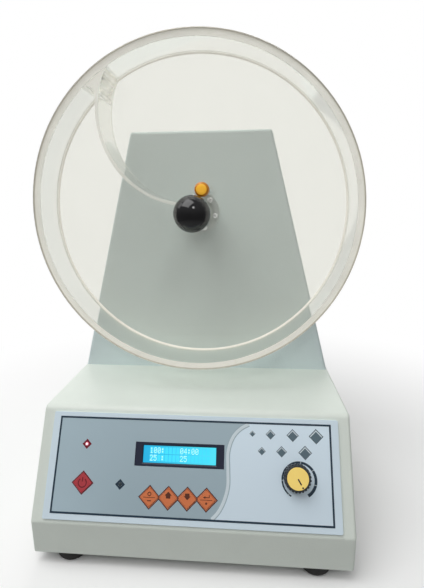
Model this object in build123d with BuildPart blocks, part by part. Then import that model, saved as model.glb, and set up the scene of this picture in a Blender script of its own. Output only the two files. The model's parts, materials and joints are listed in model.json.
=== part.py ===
"""Tablet friability tester: a clear drum turned by a gear motor in a tapered column on a sloped console.

Millimetres, X to the right, Y to the back, Z up. The origin is on the bench under the middle of the
instrument, and the drum's axis lies in the plane X = 0.
"""

import os
from math import asin, atan2, cos, hypot, radians, sin, sqrt

from build123d import *

os.makedirs("parts", exist_ok=True)

# Console
base_width = 277.0
strip_height = 30.5
panel_rise = 86.5
panel_setback = 46.0
deck_length = 98.0
column_depth = 136.0
foot_height = 12.0
sheet = 1.2
strip_fold_radius = 4.5
deck_fold_radius = 6.5
corner_radius = 2.5
assembly_gap = 0.3

# Column
column_inset = 1.5
column_top_width = 142.5
column_head = 80.0
column_edge_radius = 3.0
flange_width = 12.0
cable_way_radius = 15.0
column_vent_rise = 50.0
column_foot_screw_margin = 34.0

# Drum
drum_inner_radius = 143.5
drum_wall = 6.5
drum_depth = 38.0
drum_back_thickness = 4.5
lid_thickness = 3.0
lid_edge_chamfer = 0.5
drum_deck_clearance = 23.0
drum_column_gap = 17.0
arm_inner_radius = 77.5
arm_thickness = 3.0
arm_heading = 93.6
arm_root_radius = 7.0
arm_hub_radius = 3.0
arm_lid_gap = 0.4
hub_ring_radius = 12.5
hub_ring_wall = 3.0
glue_gap = 0.02

# Drive line
shaft_radius = 6.0
shaft_nose_radius = 5.0
stud_radius = 4.0
stud_reach = 12.5
stud_chamfer = 1.0
running_clearance = 0.05
loose_clearance = 0.3
hub_flange_radius = 20.0
hub_flange_thickness = 6.0
hub_boss_radius = 11.0
hub_boss_gap = 2.5
hub_screw_circle_radius = 16.0
hub_screw_count = 6
hub_screw_heading = -12.0
hub_screw_radius = 1.5
hub_screw_head_radius = 2.8
hub_screw_head_height = 2.0
bearing_outer_radius = 14.0
bearing_bore_wall = 2.6
bearing_outer_wall = 2.6
bearing_width = 8.0
bearing_shield = 0.8
housing_barrel_radius = 20.0
housing_length = 34.0
housing_flange_thickness = 7.0
housing_spigot_radius = 17.0
housing_spigot_proud = 2.0
housing_screw_spacing = 72.0
housing_stud_bite = 6.0
housing_screw_radius = 2.0
housing_screw_head_radius = 3.5
housing_screw_head_height = 2.2
pillar_radius = 4.0
motor_plate_thickness = 3.0
coupling_radius = 12.5
coupling_length = 24.0
coupling_clearance = 1.0
coupling_grip = 11.0
coupling_slit = 1.2
output_shaft_radius = 5.0
gearbox_width = 62.0
gearbox_above_axis = 28.0
gearbox_below_axis = 42.0
gearbox_corner_radius = 6.0
gearbox_screw_spacing = 48.0
gearbox_screw_radius = 2.0
motor_radius = 21.0
motor_length = 68.0
motor_edge_radius = 2.6
motor_end_boss_radius = 7.0
motor_end_boss_height = 3.5
output_shaft_bite = 15.0

# Lid fittings
ball_radius = 16.0
washer_thickness = 2.0
washer_radius = 9.0
knob_face_gap = 0.1
knob_flat_margin = 1.0
insert_radius = 5.5
insert_length = 14.0
peg_circle_radius = 22.0
peg_heading = 69.0
peg_radius = 2.5
peg_bite = 4.0
peg_cap_radius = 6.25
peg_cap_face_radius = 4.8
peg_cap_length = 11.0
peg_cap_wall = 2.5
peg_tip_chamfer = 0.8

# Front panel, measured along its width (u) and up its slope (v)
panel_thickness = 1.6
panel_side_margin = 11.0
panel_bottom_margin = 3.3
panel_top_margin = 5.4
panel_corner_radius = 1.5
display_u = -10.3
display_v = 59.0
display_frame_width = 79.2
display_frame_height = 20.2
display_frame_fit = 0.1
display_view_width = 64.5
display_view_height = 14.3
display_glass_margin = 3.0
display_glass_thickness = 2.4
display_glass_setback = 0.6
display_board_width = 80.0
display_board_height = 36.0
board_thickness = 1.6
board_hole_inset = 2.5
board_hole_radius = 1.3
board_post_radius = 2.2
chip_size = 12.0
chip_height = 1.5
key_row_u = -34.5
key_row_v = 24.4
key_pitch = 16.4
key_half_diagonal = 7.7
power_key_margin = 32.8
power_key_v = 33.4
power_key_half_diagonal = 8.6
key_hole_margin = 0.3
key_travel = 0.5
key_proud = 0.7
key_under_gap = 0.2
key_corner_radius = 0.6
key_stem_radius = 2.0
control_board_depth = 8.0
control_board_margin = 10.0
board_gap = 1.5
tact_switch_size = 6.0
tact_switch_height = 3.6
led_margin = 33.3
led_v = 65.5
second_led_margin = 66.4
led_radius = 1.5
led_flange_radius = 2.4
led_proud = 0.8
dial_margin = 36.6
dial_v = 45.6
speed_knob_radius = 11.3
speed_knob_height = 9.0
speed_knob_lift = 0.5
speed_knob_flutes = 24
speed_knob_flute_radius = 0.7
speed_knob_brow = 1.5
speed_knob_brow_taper = 20.0
speed_cap_radius = 8.9
speed_cap_recess = 1.4
speed_cap_proud = 0.6
pointer_heading = -60.0
pointer_length = 5.4
pointer_width = 1.2
pointer_depth = 0.4
control_shaft_radius = 3.0
control_bush_radius = 5.0
control_bush_length = 8.0
control_nut_size = 13.0
control_nut_thickness = 2.4
control_body_radius = 12.0
control_body_depth = 10.0

# Bottom tray, feet and back
tray_wall_height = 20.0
cover_screw_radius = 2.0
cover_screw_head_radius = 4.0
cover_screw_head_height = 1.8
cover_screw_length = 8.0
cover_screw_rise = 10.0
cover_screw_end_margin = 30.0
foot_inset = 29.5
foot_setback = 16.0
foot_top_radius = 14.0
foot_bottom_radius = 11.0
foot_shoulder_height = 6.0
foot_recess_radius = 4.5
foot_recess_depth = 5.0
foot_screw_radius = 2.0
foot_screw_head_height = 2.4
foot_screw_bite = 3.0
foot_flare = (1, 0.75)
back_screw_radius = 1.5
back_screw_head_radius = 3.0
back_screw_head_height = 1.4
back_screw_length = 6.0
back_screw_chamfer = 0.45
vent_length = 46.0
vent_width = 3.2
vent_pitch = 9.0
vent_count = 7
inlet_x = -78.0
inlet_z = 66.0
inlet_flange_width = 31.0
inlet_flange_height = 48.0
inlet_flange_thickness = 2.5
inlet_body_depth = 24.0
inlet_body_inset = 2.0
inlet_recess_width = 24.4
inlet_recess_height = 17.4
inlet_recess_depth = 15.0
inlet_recess_chamfer = 4.3
inlet_recess_rise = 9.0
inlet_pin_width = 2.0
inlet_pin_height = 4.0
inlet_pin_spread = 7.0
inlet_earth_rise = 3.5
fuse_drop = 13.0
fuse_drawer_width = 22.0
fuse_drawer_height = 9.0
fuse_drawer_depth = 18.0
fuse_drawer_proud = 1.5
fuse_pull_width = 7.0
fuse_pull_height = 4.5
switch_x = -28.0
switch_frame_width = 21.0
switch_frame_height = 27.0
switch_frame_lip = 2.0
switch_body_depth = 16.0
switch_wall = 2.0
rocker_reach = 4.0
rocker_tilt = 10.0
rocker_pivot_depth = 5.0
rocker_heel = 2.0
rocker_dip = 0.7
rocker_pin_radius = 1.5
rocker_pin_bite = 1.0
power_board_width = 130.0
power_board_depth = 96.0
power_board_rise = 8.0
transformer_length = 52.0
transformer_width = 44.0
transformer_height = 40.0
capacitor_radius = 8.0
capacitor_height = 22.0
capacitor_pitch = 24.0

# Places worked out from the sizes above
base_depth = panel_setback + deck_length + column_depth
front_y = -(base_depth + rocker_reach) / 2
back_y = front_y + base_depth
strip_top = foot_height + strip_height
deck_height = strip_top + panel_rise
panel_top_y = front_y + panel_setback
column_front_y = panel_top_y + deck_length
column_base_width = base_width - 2 * column_inset

drum_radius = drum_inner_radius + drum_wall
axis_height = deck_height + drum_deck_clearance + drum_radius
column_top = axis_height + column_head
drum_back_y = column_front_y - drum_column_gap
cavity_back_y = drum_back_y - drum_back_thickness
cavity_front_y = cavity_back_y - drum_depth
lid_front_y = cavity_front_y - lid_thickness

slope_length = hypot(panel_setback, panel_rise)
panel_plane = Plane(
    origin=(0, front_y, strip_top),
    x_dir=(1, 0, 0),
    z_dir=(0, -panel_rise / slope_length, panel_setback / slope_length),
)
panel_width = base_width - 2 * panel_side_margin
panel_height = slope_length - panel_bottom_margin - panel_top_margin
panel_centre_v = panel_bottom_margin + panel_height / 2
power_key_u = power_key_margin - panel_width / 2
led_u = led_margin - panel_width / 2
second_led_u = second_led_margin - panel_width / 2
dial_u = panel_width / 2 - dial_margin


def across(y):
    """A plane square to the drum's axis at depth y, with its centre on that axis, facing the front."""
    return Plane(origin=(0, y, axis_height), x_dir=(1, 0, 0), z_dir=(0, -1, 0))


def facing_back(x, y, z):
    """A plane that faces the back of the instrument, with its centre at a point."""
    return Plane(origin=(x, y, z), x_dir=(-1, 0, 0), z_dir=(0, 1, 0))


def polar(radius, heading):
    """A point on a circle about the drum's axis, seen from the front."""
    return (radius * cos(radians(heading)), radius * sin(radians(heading)))


def save(part, name):
    """Label a finished piece and write its file."""
    part.label = name
    export_step(part, f"parts/{name}.step")


def column_half_width(z):
    """Half of the column's outside width at a height."""
    share = (z - deck_height) / (column_top - deck_height)
    return column_base_width / 2 + share * (column_top_width - column_base_width) / 2


lean = atan2((column_base_width - column_top_width) / 2, column_top - deck_height)


def column_outline(inset, bottom):
    """The column's front outline, drawn in from its sides and top, down to a given height."""
    top = column_top - inset
    low = column_half_width(bottom) - inset / cos(lean)
    high = column_half_width(top) - inset / cos(lean)
    return [(-low, bottom), (low, bottom), (high, top), (-high, top)]


def diamond(half_diagonal):
    """The corners of a diamond that stands on its point."""
    return [(half_diagonal, 0), (0, half_diagonal), (-half_diagonal, 0), (0, -half_diagonal)]


# Levels square to the slope, from its outside face
key_base = key_travel + key_under_gap
key_top = panel_thickness + key_proud
key_stem_base = -sheet - key_travel
switch_plunger_top = key_stem_base - key_travel - key_under_gap
glass_back = -display_glass_setback - display_glass_thickness
control_board_face = -sheet - control_board_depth
knob_base = panel_thickness + speed_knob_lift
knob_top = knob_base + speed_knob_height
knob_cavity_top = control_bush_length - sheet + speed_knob_lift
control_shaft_end = knob_top - speed_cap_recess - speed_knob_lift
panel_axis = Axis(panel_plane.origin, panel_plane.z_dir)

# Places on the slope
key_names = ["set_key", "up_key", "down_key", "enter_key"]
key_places = [(key_row_u + i * key_pitch, key_row_v) for i in range(len(key_names))]
power_key_place = (power_key_u, power_key_v)
led_places = [(led_u, led_v), (second_led_u, power_key_v)]
dial_place = (dial_u, dial_v)


def corners(width, height):
    """Four places at the corners of a rectangle about the current place."""
    return GridLocations(width, height, 2, 2)


def display_posts():
    """Where the display board is screwed down, about the display's centre."""
    return corners(display_board_width - 2 * board_hole_inset, display_board_height - 2 * board_hole_inset)


def power_posts():
    """Where the power board stands on the tray, about its centre."""
    return corners(power_board_width - 4 * board_hole_inset, power_board_depth - 4 * board_hole_inset)


def pillars():
    """Where the bearing housing, the pillars and the motor plate are held together."""
    return corners(housing_screw_spacing, housing_screw_spacing)


def gearbox_holes():
    """Where the gearbox is screwed to the motor plate."""
    return corners(gearbox_screw_spacing, gearbox_screw_spacing)


def hub_screw_ring():
    """Where the drum's back is screwed to the hub flange."""
    return PolarLocations(hub_screw_circle_radius, hub_screw_count, start_angle=hub_screw_heading)


glass_width = display_view_width + 2 * display_glass_margin
glass_height = display_view_height + 2 * display_glass_margin

# The control board is an L round the display board
board_left = min(power_key_u, led_u) - control_board_margin
board_right = key_places[-1][0] + control_board_margin
board_low = key_row_v - control_board_margin
board_step = display_v - display_board_height / 2 - board_gap
board_high = led_v + control_board_margin
board_inner = display_u - display_board_width / 2 - board_gap
control_post_places = [
    (board_left + board_hole_inset, board_low + board_hole_inset),
    (board_left + board_hole_inset, board_high - board_hole_inset),
    (board_inner - board_hole_inset, board_high - board_hole_inset),
    (board_right - board_hole_inset, board_low + board_hole_inset),
]

# Places along the drum's axis
housing_seat_y = column_front_y + sheet
housing_front_y = column_front_y - housing_spigot_proud
housing_back_y = housing_seat_y + housing_length
coupling_front_y = housing_back_y + coupling_clearance
coupling_back_y = coupling_front_y + coupling_length
motor_plate_y = coupling_back_y + coupling_clearance
gearbox_y = motor_plate_y + motor_plate_thickness
gearbox_thickness = 2 * (motor_radius + coupling_clearance)
housing_flange_size = housing_screw_spacing + 4 * pillar_radius
bearing_inner_radius = shaft_radius + bearing_bore_wall
drum_axis = Axis((0, 0, axis_height), (0, 1, 0))
shaft_back_y = coupling_front_y + coupling_grip
stud_tip_y = lid_front_y - stud_reach
knob_face_y = lid_front_y - washer_thickness - knob_face_gap
ball_y = knob_face_y - sqrt(ball_radius**2 - (insert_radius + knob_flat_margin) ** 2)
peg_place = polar(peg_circle_radius, peg_heading)

# The lifting arm's ring passes through the hub ring and crosses the wall
arm_outer_radius = arm_inner_radius + arm_thickness
arm_centre = polar(arm_inner_radius + hub_ring_radius - arm_thickness, arm_heading)

# The tray's inside and the fixings of the back panels
tray_half_width = base_width / 2 - sheet - assembly_gap
tray_front_y = front_y + sheet + assembly_gap
tray_back_y = back_y - sheet - assembly_gap
tray_middle_y = (tray_front_y + tray_back_y) / 2
cover_screw_z = foot_height + cover_screw_rise
cover_screw_ys = [front_y + cover_screw_end_margin, tray_middle_y, back_y - cover_screw_end_margin]
foot_places = {
    "foot_front_left": (-base_width / 2 + foot_inset, front_y + foot_setback),
    "foot_front_right": (base_width / 2 - foot_inset, front_y + foot_setback),
    "foot_back_left": (-base_width / 2 + foot_inset, back_y - foot_setback),
    "foot_back_right": (base_width / 2 - foot_inset, back_y - foot_setback),
}
column_screw_heights = [
    deck_height + 2 * flange_width,
    (deck_height + column_top) / 2,
    column_top - 2 * flange_width,
]
back_panel_top = deck_height - sheet - assembly_gap
column_screw_places = [
    (side * (column_half_width(z) - (sheet + flange_width / 2) / cos(lean)), z)
    for z in column_screw_heights
    for side in (-1, 1)
]
base_screw_places = [
    (side * (tray_half_width - 2 * flange_width * reach), z)
    for z in (cover_screw_z, back_panel_top - flange_width / 2)
    for side in (-1, 1)
    for reach in (1, 4)
]
back_screw_places = column_screw_places + base_screw_places
back_face = Plane.XZ.offset(-back_y)
power_board_x = base_width / 2 - power_board_width / 2 - 2 * flange_width
power_board_y = back_y - power_board_depth / 2 - 3 * flange_width
power_board_z = foot_height + sheet + power_board_rise
column_foot_places = [
    (side * (column_base_width / 2 - sheet - flange_width / 2), y)
    for side in (-1, 1)
    for y in (column_front_y + column_foot_screw_margin, back_y - column_foot_screw_margin)
]

inlet_face_y = back_y + inlet_flange_thickness

# The rocker turns in a cylinder about its pins, and its proud end stands out by its reach
rocker_width = switch_frame_width - switch_frame_lip - 2 * switch_wall - 2 * loose_clearance
rocker_radius = (switch_frame_height - switch_frame_lip) / 2 - switch_wall - loose_clearance
rocker_tilt_angle = radians(rocker_tilt)
rocker_top = rocker_reach - switch_frame_lip + rocker_pivot_depth
rocker_rise = asin(rocker_top / rocker_radius) - rocker_tilt_angle
rocker_shoulder = rocker_radius * sin(rocker_rise)
rocker_end = rocker_radius * cos(rocker_rise)
rocker_heel_reach = sqrt(rocker_radius**2 - rocker_heel**2)
rocker_swing = rocker_heel * cos(rocker_tilt_angle) + rocker_heel_reach * sin(rocker_tilt_angle)
rocker_plane = Plane(
    origin=(switch_x, back_y + switch_frame_lip - rocker_pivot_depth, inlet_z),
    x_dir=(0, cos(rocker_tilt_angle), sin(rocker_tilt_angle)),
    z_dir=(1, 0, 0),
)

# Console cover: one sheet folded over strip, slope and deck, with welded side cheeks
with BuildPart() as base_cover:
    with BuildSketch(Plane.YZ.offset(-base_width / 2)) as cover_profile:
        with BuildLine():
            Polyline(
                (front_y, foot_height),
                (front_y, strip_top),
                (panel_top_y, deck_height),
                (back_y, deck_height),
                (back_y, foot_height),
                close=True,
            )
        make_face()
        fillet(cover_profile.vertices().sort_by_distance((front_y, strip_top))[0], strip_fold_radius)
        fillet(cover_profile.vertices().sort_by_distance((panel_top_y, deck_height))[0], deck_fold_radius)
    extrude(amount=base_width)
    cheek_edges = base_cover.faces().filter_by(Axis.X).edges()
    outer_edges = cheek_edges.filter_by(
        lambda edge: edge.center().Z > foot_height + sheet and edge.center().Y < back_y - sheet
    )
    fillet(outer_edges, corner_radius)
    open_bottom = base_cover.faces().sort_by(Axis.Z)[0]
    open_back = base_cover.faces().sort_by(Axis.Y)[-1]
    offset(amount=-sheet, openings=[open_bottom, open_back])
    # Flange under the deck that carries the back panel
    with BuildSketch(Plane.XZ.offset(-(back_y - 2 * sheet - assembly_gap))):
        with Locations((0, deck_height - sheet - flange_width / 2 + sheet / 2)):
            Rectangle(base_width - 2 * flange_width, flange_width + sheet)
    extrude(amount=-sheet)
    # Openings in the slope
    with BuildSketch(panel_plane):
        with Locations((display_u, display_v)):
            Rectangle(glass_width + 2 * assembly_gap, glass_height + 2 * assembly_gap)
        with Locations(*key_places, power_key_place):
            Circle(key_stem_radius + loose_clearance)
        with Locations(*led_places):
            Circle(led_radius + display_frame_fit)
        with Locations(dial_place):
            Circle(control_bush_radius + display_frame_fit)
    extrude(amount=-2 * sheet, mode=Mode.SUBTRACT)
    # Posts welded behind the slope for the two boards
    with BuildSketch(panel_plane.offset(-sheet / 2)):
        with Locations((display_u, display_v)):
            with display_posts():
                Circle(board_post_radius)
    extrude(amount=glass_back + sheet / 2)
    with BuildSketch(panel_plane.offset(-sheet / 2)):
        with Locations(*control_post_places):
            Circle(board_post_radius)
    extrude(amount=control_board_face + sheet / 2)
    # Screw holes in the cheeks, cable way in the deck and holes for the column's flange screws
    for y in cover_screw_ys:
        with Locations(Plane(origin=(base_width / 2, y, cover_screw_z), z_dir=(1, 0, 0))):
            Hole(cover_screw_radius, depth=base_width)
    with Locations((0, column_front_y + column_depth / 2, deck_height)):
        Hole(cable_way_radius, depth=2 * sheet)
    with Locations(*[(x, y, deck_height) for x, y in column_foot_places]):
        Hole(back_screw_radius, depth=2 * sheet)
    with Locations(*[Plane(origin=(x, back_y, z), z_dir=(0, 1, 0)) for x, z in base_screw_places[4:]]):
        Hole(back_screw_radius, depth=4 * sheet)
save(base_cover.part, "base_cover")

# Bottom tray: a shallow pan inside the cover, with posts for the power board
with BuildPart() as base_tray:
    with BuildSketch(Plane.XY.offset(foot_height)):
        with Locations((0, tray_middle_y)):
            Rectangle(2 * tray_half_width, tray_back_y - tray_front_y)
    extrude(amount=tray_wall_height)
    fillet(base_tray.edges().filter_by(Axis.Z), corner_radius)
    offset(amount=-sheet, openings=base_tray.faces().sort_by(Axis.Z)[-1])
    with BuildSketch(Plane.XY.offset(foot_height)):
        with Locations((power_board_x, power_board_y)):
            with power_posts():
                Circle(board_post_radius)
    extrude(amount=sheet + power_board_rise)
    with BuildSketch(Plane.XY.offset(foot_height)):
        with Locations((power_board_x, power_board_y)):
            with GridLocations(0, vent_pitch, 1, vent_count):
                SlotOverall(vent_length, vent_width)
        with Locations(*foot_places.values()):
            Circle(foot_screw_radius)
    extrude(amount=sheet, mode=Mode.SUBTRACT)
    for y in cover_screw_ys:
        with Locations(Plane(origin=(base_width / 2, y, cover_screw_z), z_dir=(1, 0, 0))):
            Hole(cover_screw_radius, depth=base_width)
    with Locations(*[Plane(origin=(x, back_y, z), z_dir=(0, 1, 0)) for x, z in base_screw_places[:4]]):
        Hole(back_screw_radius, depth=4 * sheet)
save(base_tray.part, "base_tray")

# Console back panel, with openings for the mains inlet and the switch
with BuildPart() as base_back_panel:
    with BuildSketch(back_face) as panel_outline:
        with Locations((0, (foot_height + back_panel_top) / 2)):
            RectangleRounded(2 * tray_half_width, back_panel_top - foot_height, corner_radius)
        with Locations((inlet_x, inlet_z)):
            Rectangle(
                inlet_flange_width - 2 * inlet_body_inset + assembly_gap,
                inlet_flange_height - 2 * inlet_body_inset + assembly_gap,
                mode=Mode.SUBTRACT,
            )
        with Locations((switch_x, inlet_z)):
            Rectangle(
                switch_frame_width - switch_frame_lip + assembly_gap,
                switch_frame_height - switch_frame_lip + assembly_gap,
                mode=Mode.SUBTRACT,
            )
        with Locations((power_board_x, inlet_z)):
            with GridLocations(vent_length + vent_pitch, vent_pitch, 2, vent_count):
                SlotOverall(vent_length, vent_width, mode=Mode.SUBTRACT)
        with Locations(*base_screw_places):
            Circle(back_screw_radius, mode=Mode.SUBTRACT)
    extrude(amount=sheet)
save(base_back_panel.part, "base_back_panel")

# Column: a folded hood, narrow at the top, with flanges below and behind
with BuildPart() as column_cover:
    with BuildSketch(Plane.XZ.offset(-column_front_y)):
        Polygon(*column_outline(0, deck_height), align=None)
    extrude(amount=-column_depth)
    hood_edges = column_cover.edges().filter_by(
        lambda edge: edge.center().Z > deck_height + sheet and edge.center().Y < back_y - sheet
    )
    fillet(hood_edges, column_edge_radius)
    open_bottom = column_cover.faces().sort_by(Axis.Z)[0]
    open_back = column_cover.faces().sort_by(Axis.Y)[-1]
    offset(amount=-sheet, openings=[open_bottom, open_back])
    with BuildSketch(Plane.XY.offset(deck_height)):
        with Locations((0, column_front_y + column_depth / 2 - sheet / 2)):
            Rectangle(column_base_width - sheet, column_depth - 2 * sheet)
            Rectangle(
                column_base_width - 2 * flange_width,
                column_depth - 2 * flange_width,
                mode=Mode.SUBTRACT,
            )
        with Locations(*column_foot_places):
            Circle(back_screw_radius, mode=Mode.SUBTRACT)
    extrude(amount=sheet)
    with BuildSketch(Plane.XZ.offset(-(back_y - sheet - assembly_gap))):
        Polygon(*column_outline(sheet / 2, deck_height), align=None)
        Polygon(
            *column_outline(sheet + flange_width, deck_height - flange_width),
            align=None,
            mode=Mode.SUBTRACT,
        )
        with Locations(*column_screw_places):
            Circle(back_screw_radius, mode=Mode.SUBTRACT)
    extrude(amount=sheet)
    with BuildSketch(across(column_front_y)):
        Circle(housing_spigot_radius + assembly_gap)
    extrude(amount=-2 * sheet, mode=Mode.SUBTRACT)
    # Studs welded inside the front that carry the bearing housing
    with BuildSketch(across(column_front_y + sheet / 2)):
        with pillars():
            Circle(housing_screw_radius)
    extrude(amount=-(sheet / 2 + housing_flange_thickness + housing_stud_bite))
save(column_cover.part, "column_cover")

with BuildPart() as column_back_panel:
    with BuildSketch(back_face) as panel_outline:
        Polygon(*column_outline(sheet + assembly_gap, deck_height + assembly_gap), align=None)
        fillet(panel_outline.vertices(), corner_radius)
        with Locations(*column_screw_places):
            Circle(back_screw_radius, mode=Mode.SUBTRACT)
        for z in (axis_height, deck_height + column_vent_rise):
            with Locations((0, z)):
                with GridLocations(0, vent_pitch, 1, vent_count):
                    SlotOverall(vent_length, vent_width, mode=Mode.SUBTRACT)
    extrude(amount=sheet)
save(column_back_panel.part, "column_back_panel")

# Screws
with BuildPart() as panel_screws:
    with BuildSketch(back_face):
        with Locations(*back_screw_places):
            Circle(back_screw_head_radius)
    extrude(amount=-back_screw_head_height)
    back_heads = panel_screws.faces().sort_by(Axis.Y)[-len(back_screw_places):]
    chamfer(back_heads.edges(), back_screw_chamfer)
    with BuildSketch(back_face):
        with Locations(*back_screw_places):
            Circle(back_screw_radius)
    extrude(amount=back_screw_length)
    with BuildSketch(Plane.XY.offset(deck_height + sheet)):
        with Locations(*column_foot_places):
            Circle(back_screw_head_radius)
    extrude(amount=back_screw_head_height)
    with BuildSketch(Plane.XY.offset(deck_height + sheet)):
        with Locations(*column_foot_places):
            Circle(back_screw_radius)
    extrude(amount=-back_screw_length)
save(panel_screws.part, "panel_screws")

with BuildPart() as cover_screws:
    for side in (-1, 1):
        cheek = Plane(origin=(side * base_width / 2, 0, cover_screw_z), x_dir=(0, side, 0), z_dir=(side, 0, 0))
        places = [(side * y, 0) for y in cover_screw_ys]
        with BuildSketch(cheek):
            with Locations(*places):
                Circle(cover_screw_head_radius)
        extrude(amount=cover_screw_head_height)
        heads = cover_screws.faces().filter_by(Axis.X).sort_by(Axis.X)
        outer_faces = heads[-len(places):] if side > 0 else heads[:len(places)]
        fillet(outer_faces.edges(), cover_screw_head_height / 2)
        with BuildSketch(cheek):
            with Locations(*places):
                Circle(cover_screw_radius)
        extrude(amount=-cover_screw_length)
save(cover_screws.part, "cover_screws")


# Feet
def make_foot(name, x, y):
    """A turned rubber foot with a recess for its screw."""
    with BuildPart() as foot:
        with BuildSketch(Plane(origin=(x, y, 0), x_dir=(1, 0, 0), z_dir=(0, -1, 0))):
            with BuildLine():
                shoulder = (foot_top_radius, foot_shoulder_height)
                Line((foot_recess_radius, 0), (foot_bottom_radius, 0))
                TangentArc((foot_bottom_radius, 0), shoulder, tangent=foot_flare)
                Polyline(
                    shoulder,
                    (foot_top_radius, foot_height),
                    (foot_screw_radius, foot_height),
                    (foot_screw_radius, foot_recess_depth),
                    (foot_recess_radius, foot_recess_depth),
                    (foot_recess_radius, 0),
                )
            make_face()
        revolve(axis=Axis((x, y, 0), (0, 0, 1)))
    save(foot.part, name)


for name, (x, y) in foot_places.items():
    make_foot(name, x, y)

with BuildPart() as foot_screws:
    with BuildSketch(Plane.XY.offset(foot_recess_depth)):
        with Locations(*foot_places.values()):
            Circle(foot_recess_radius - assembly_gap)
    extrude(amount=-foot_screw_head_height)
    with BuildSketch(Plane.XY.offset(foot_recess_depth)):
        with Locations(*foot_places.values()):
            Circle(foot_screw_radius)
    extrude(amount=foot_height + sheet + foot_screw_bite - foot_recess_depth)
save(foot_screws.part, "foot_screws")

# Front panel plate with its window and openings
with BuildPart() as front_panel:
    with BuildSketch(panel_plane):
        with Locations((0, panel_centre_v)):
            RectangleRounded(panel_width, panel_height, panel_corner_radius)
        with Locations((display_u, display_v)):
            Rectangle(display_frame_width, display_frame_height, mode=Mode.SUBTRACT)
        with Locations(*key_places):
            Polygon(*diamond(key_half_diagonal + key_hole_margin), mode=Mode.SUBTRACT)
        with Locations(power_key_place):
            Polygon(*diamond(power_key_half_diagonal + key_hole_margin), mode=Mode.SUBTRACT)
        with Locations(*led_places):
            Circle(led_radius + display_frame_fit, mode=Mode.SUBTRACT)
        with Locations(dial_place):
            Circle(control_bush_radius + display_frame_fit, mode=Mode.SUBTRACT)
    extrude(amount=panel_thickness)
save(front_panel.part, "front_panel")

# Display: frame in the window, glass in the cover's opening, board behind
with BuildPart() as display_frame:
    with BuildSketch(panel_plane):
        with Locations((display_u, display_v)):
            Rectangle(
                display_frame_width - 2 * display_frame_fit,
                display_frame_height - 2 * display_frame_fit,
            )
            Rectangle(display_view_width, display_view_height, mode=Mode.SUBTRACT)
    extrude(amount=panel_thickness)
    top_face = display_frame.faces().sort_by(panel_axis)[-1]
    chamfer(top_face.inner_wires()[0].edges(), panel_thickness / 2)
save(display_frame.part, "display_frame")

with BuildPart() as display_glass:
    with BuildSketch(panel_plane.offset(glass_back)):
        with Locations((display_u, display_v)):
            Rectangle(glass_width, glass_height)
    extrude(amount=display_glass_thickness)
save(display_glass.part, "display_glass")

with BuildPart() as display_board:
    with BuildSketch(panel_plane.offset(glass_back - board_thickness)):
        with Locations((display_u, display_v)):
            Rectangle(display_board_width, display_board_height)
            with display_posts():
                Circle(board_hole_radius, mode=Mode.SUBTRACT)
    extrude(amount=board_thickness)
    with BuildSketch(panel_plane.offset(glass_back - board_thickness)):
        with Locations((display_u, display_v)):
            with GridLocations(display_board_width / 4, 0, 3, 1):
                Rectangle(chip_size, chip_size)
    extrude(amount=-chip_height)
save(display_board.part, "display_board")

# Control board with its push switches under the keys
with BuildPart() as control_board:
    with BuildSketch(panel_plane.offset(control_board_face)) as board_outline:
        with BuildLine():
            Polyline(
                (board_left, board_low),
                (board_right, board_low),
                (board_right, board_step),
                (board_inner, board_step),
                (board_inner, board_high),
                (board_left, board_high),
                close=True,
            )
        make_face()
        with Locations(*control_post_places):
            Circle(board_hole_radius, mode=Mode.SUBTRACT)
    extrude(amount=-board_thickness)
    with BuildSketch(panel_plane.offset(control_board_face)):
        with Locations(*key_places, power_key_place):
            Rectangle(tact_switch_size, tact_switch_size)
    extrude(amount=tact_switch_height)
    with BuildSketch(panel_plane.offset(control_board_face)):
        with Locations(*key_places, power_key_place):
            Circle(key_stem_radius - assembly_gap)
    extrude(amount=switch_plunger_top - control_board_face)
save(control_board.part, "control_board")


# Keys: a diamond cap in the panel and a stem through the cover
def make_key(name, place, half_diagonal):
    """A diamond key, standing a little proud of the panel."""
    with BuildPart() as key:
        with BuildSketch(panel_plane.offset(key_base)) as cap:
            with Locations(place):
                Polygon(*diamond(half_diagonal))
            fillet(cap.vertices(), key_corner_radius)
        extrude(amount=key_top - key_base)
        fillet(key.faces().sort_by(panel_axis)[-1].edges(), key_proud / 2)
        with BuildSketch(panel_plane.offset(key_base)):
            with Locations(place):
                Circle(key_stem_radius)
        extrude(amount=key_stem_base - key_base)
    save(key.part, name)


for name, place in zip(key_names, key_places):
    make_key(name, place, key_half_diagonal)
make_key("power_key", power_key_place, power_key_half_diagonal)


# Indicator lamps
def make_lamp(name, place):
    """A domed lamp with a flange under the cover and a spacer down to the control board."""
    with BuildPart() as lamp:
        with BuildSketch(panel_plane.offset(control_board_face)):
            with Locations(place):
                Circle(led_flange_radius)
        extrude(amount=-sheet - assembly_gap - control_board_face)
        with BuildSketch(panel_plane.offset(control_board_face)):
            with Locations(place):
                Circle(led_radius)
        extrude(amount=panel_thickness + led_proud - control_board_face)
        fillet(lamp.faces().sort_by(panel_axis)[-1].edges(), led_proud)
    save(lamp.part, name)


for name, place in zip(("power_lamp", "ready_lamp"), led_places):
    make_lamp(name, place)

# Speed control behind the panel, its nut, its turning shaft and the knob
with BuildPart() as speed_control:
    with BuildSketch(panel_plane.offset(-sheet)):
        with Locations(dial_place):
            Circle(control_body_radius)
    extrude(amount=-control_body_depth)
    with BuildSketch(panel_plane.offset(-sheet)):
        with Locations(dial_place):
            Circle(control_bush_radius)
    extrude(amount=control_bush_length)
    with BuildSketch(panel_plane.offset(control_bush_length - sheet)):
        with Locations(dial_place):
            Circle(control_shaft_radius + running_clearance)
    extrude(amount=-control_bush_length - control_body_depth / 2, mode=Mode.SUBTRACT)
save(speed_control.part, "speed_control")

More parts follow.
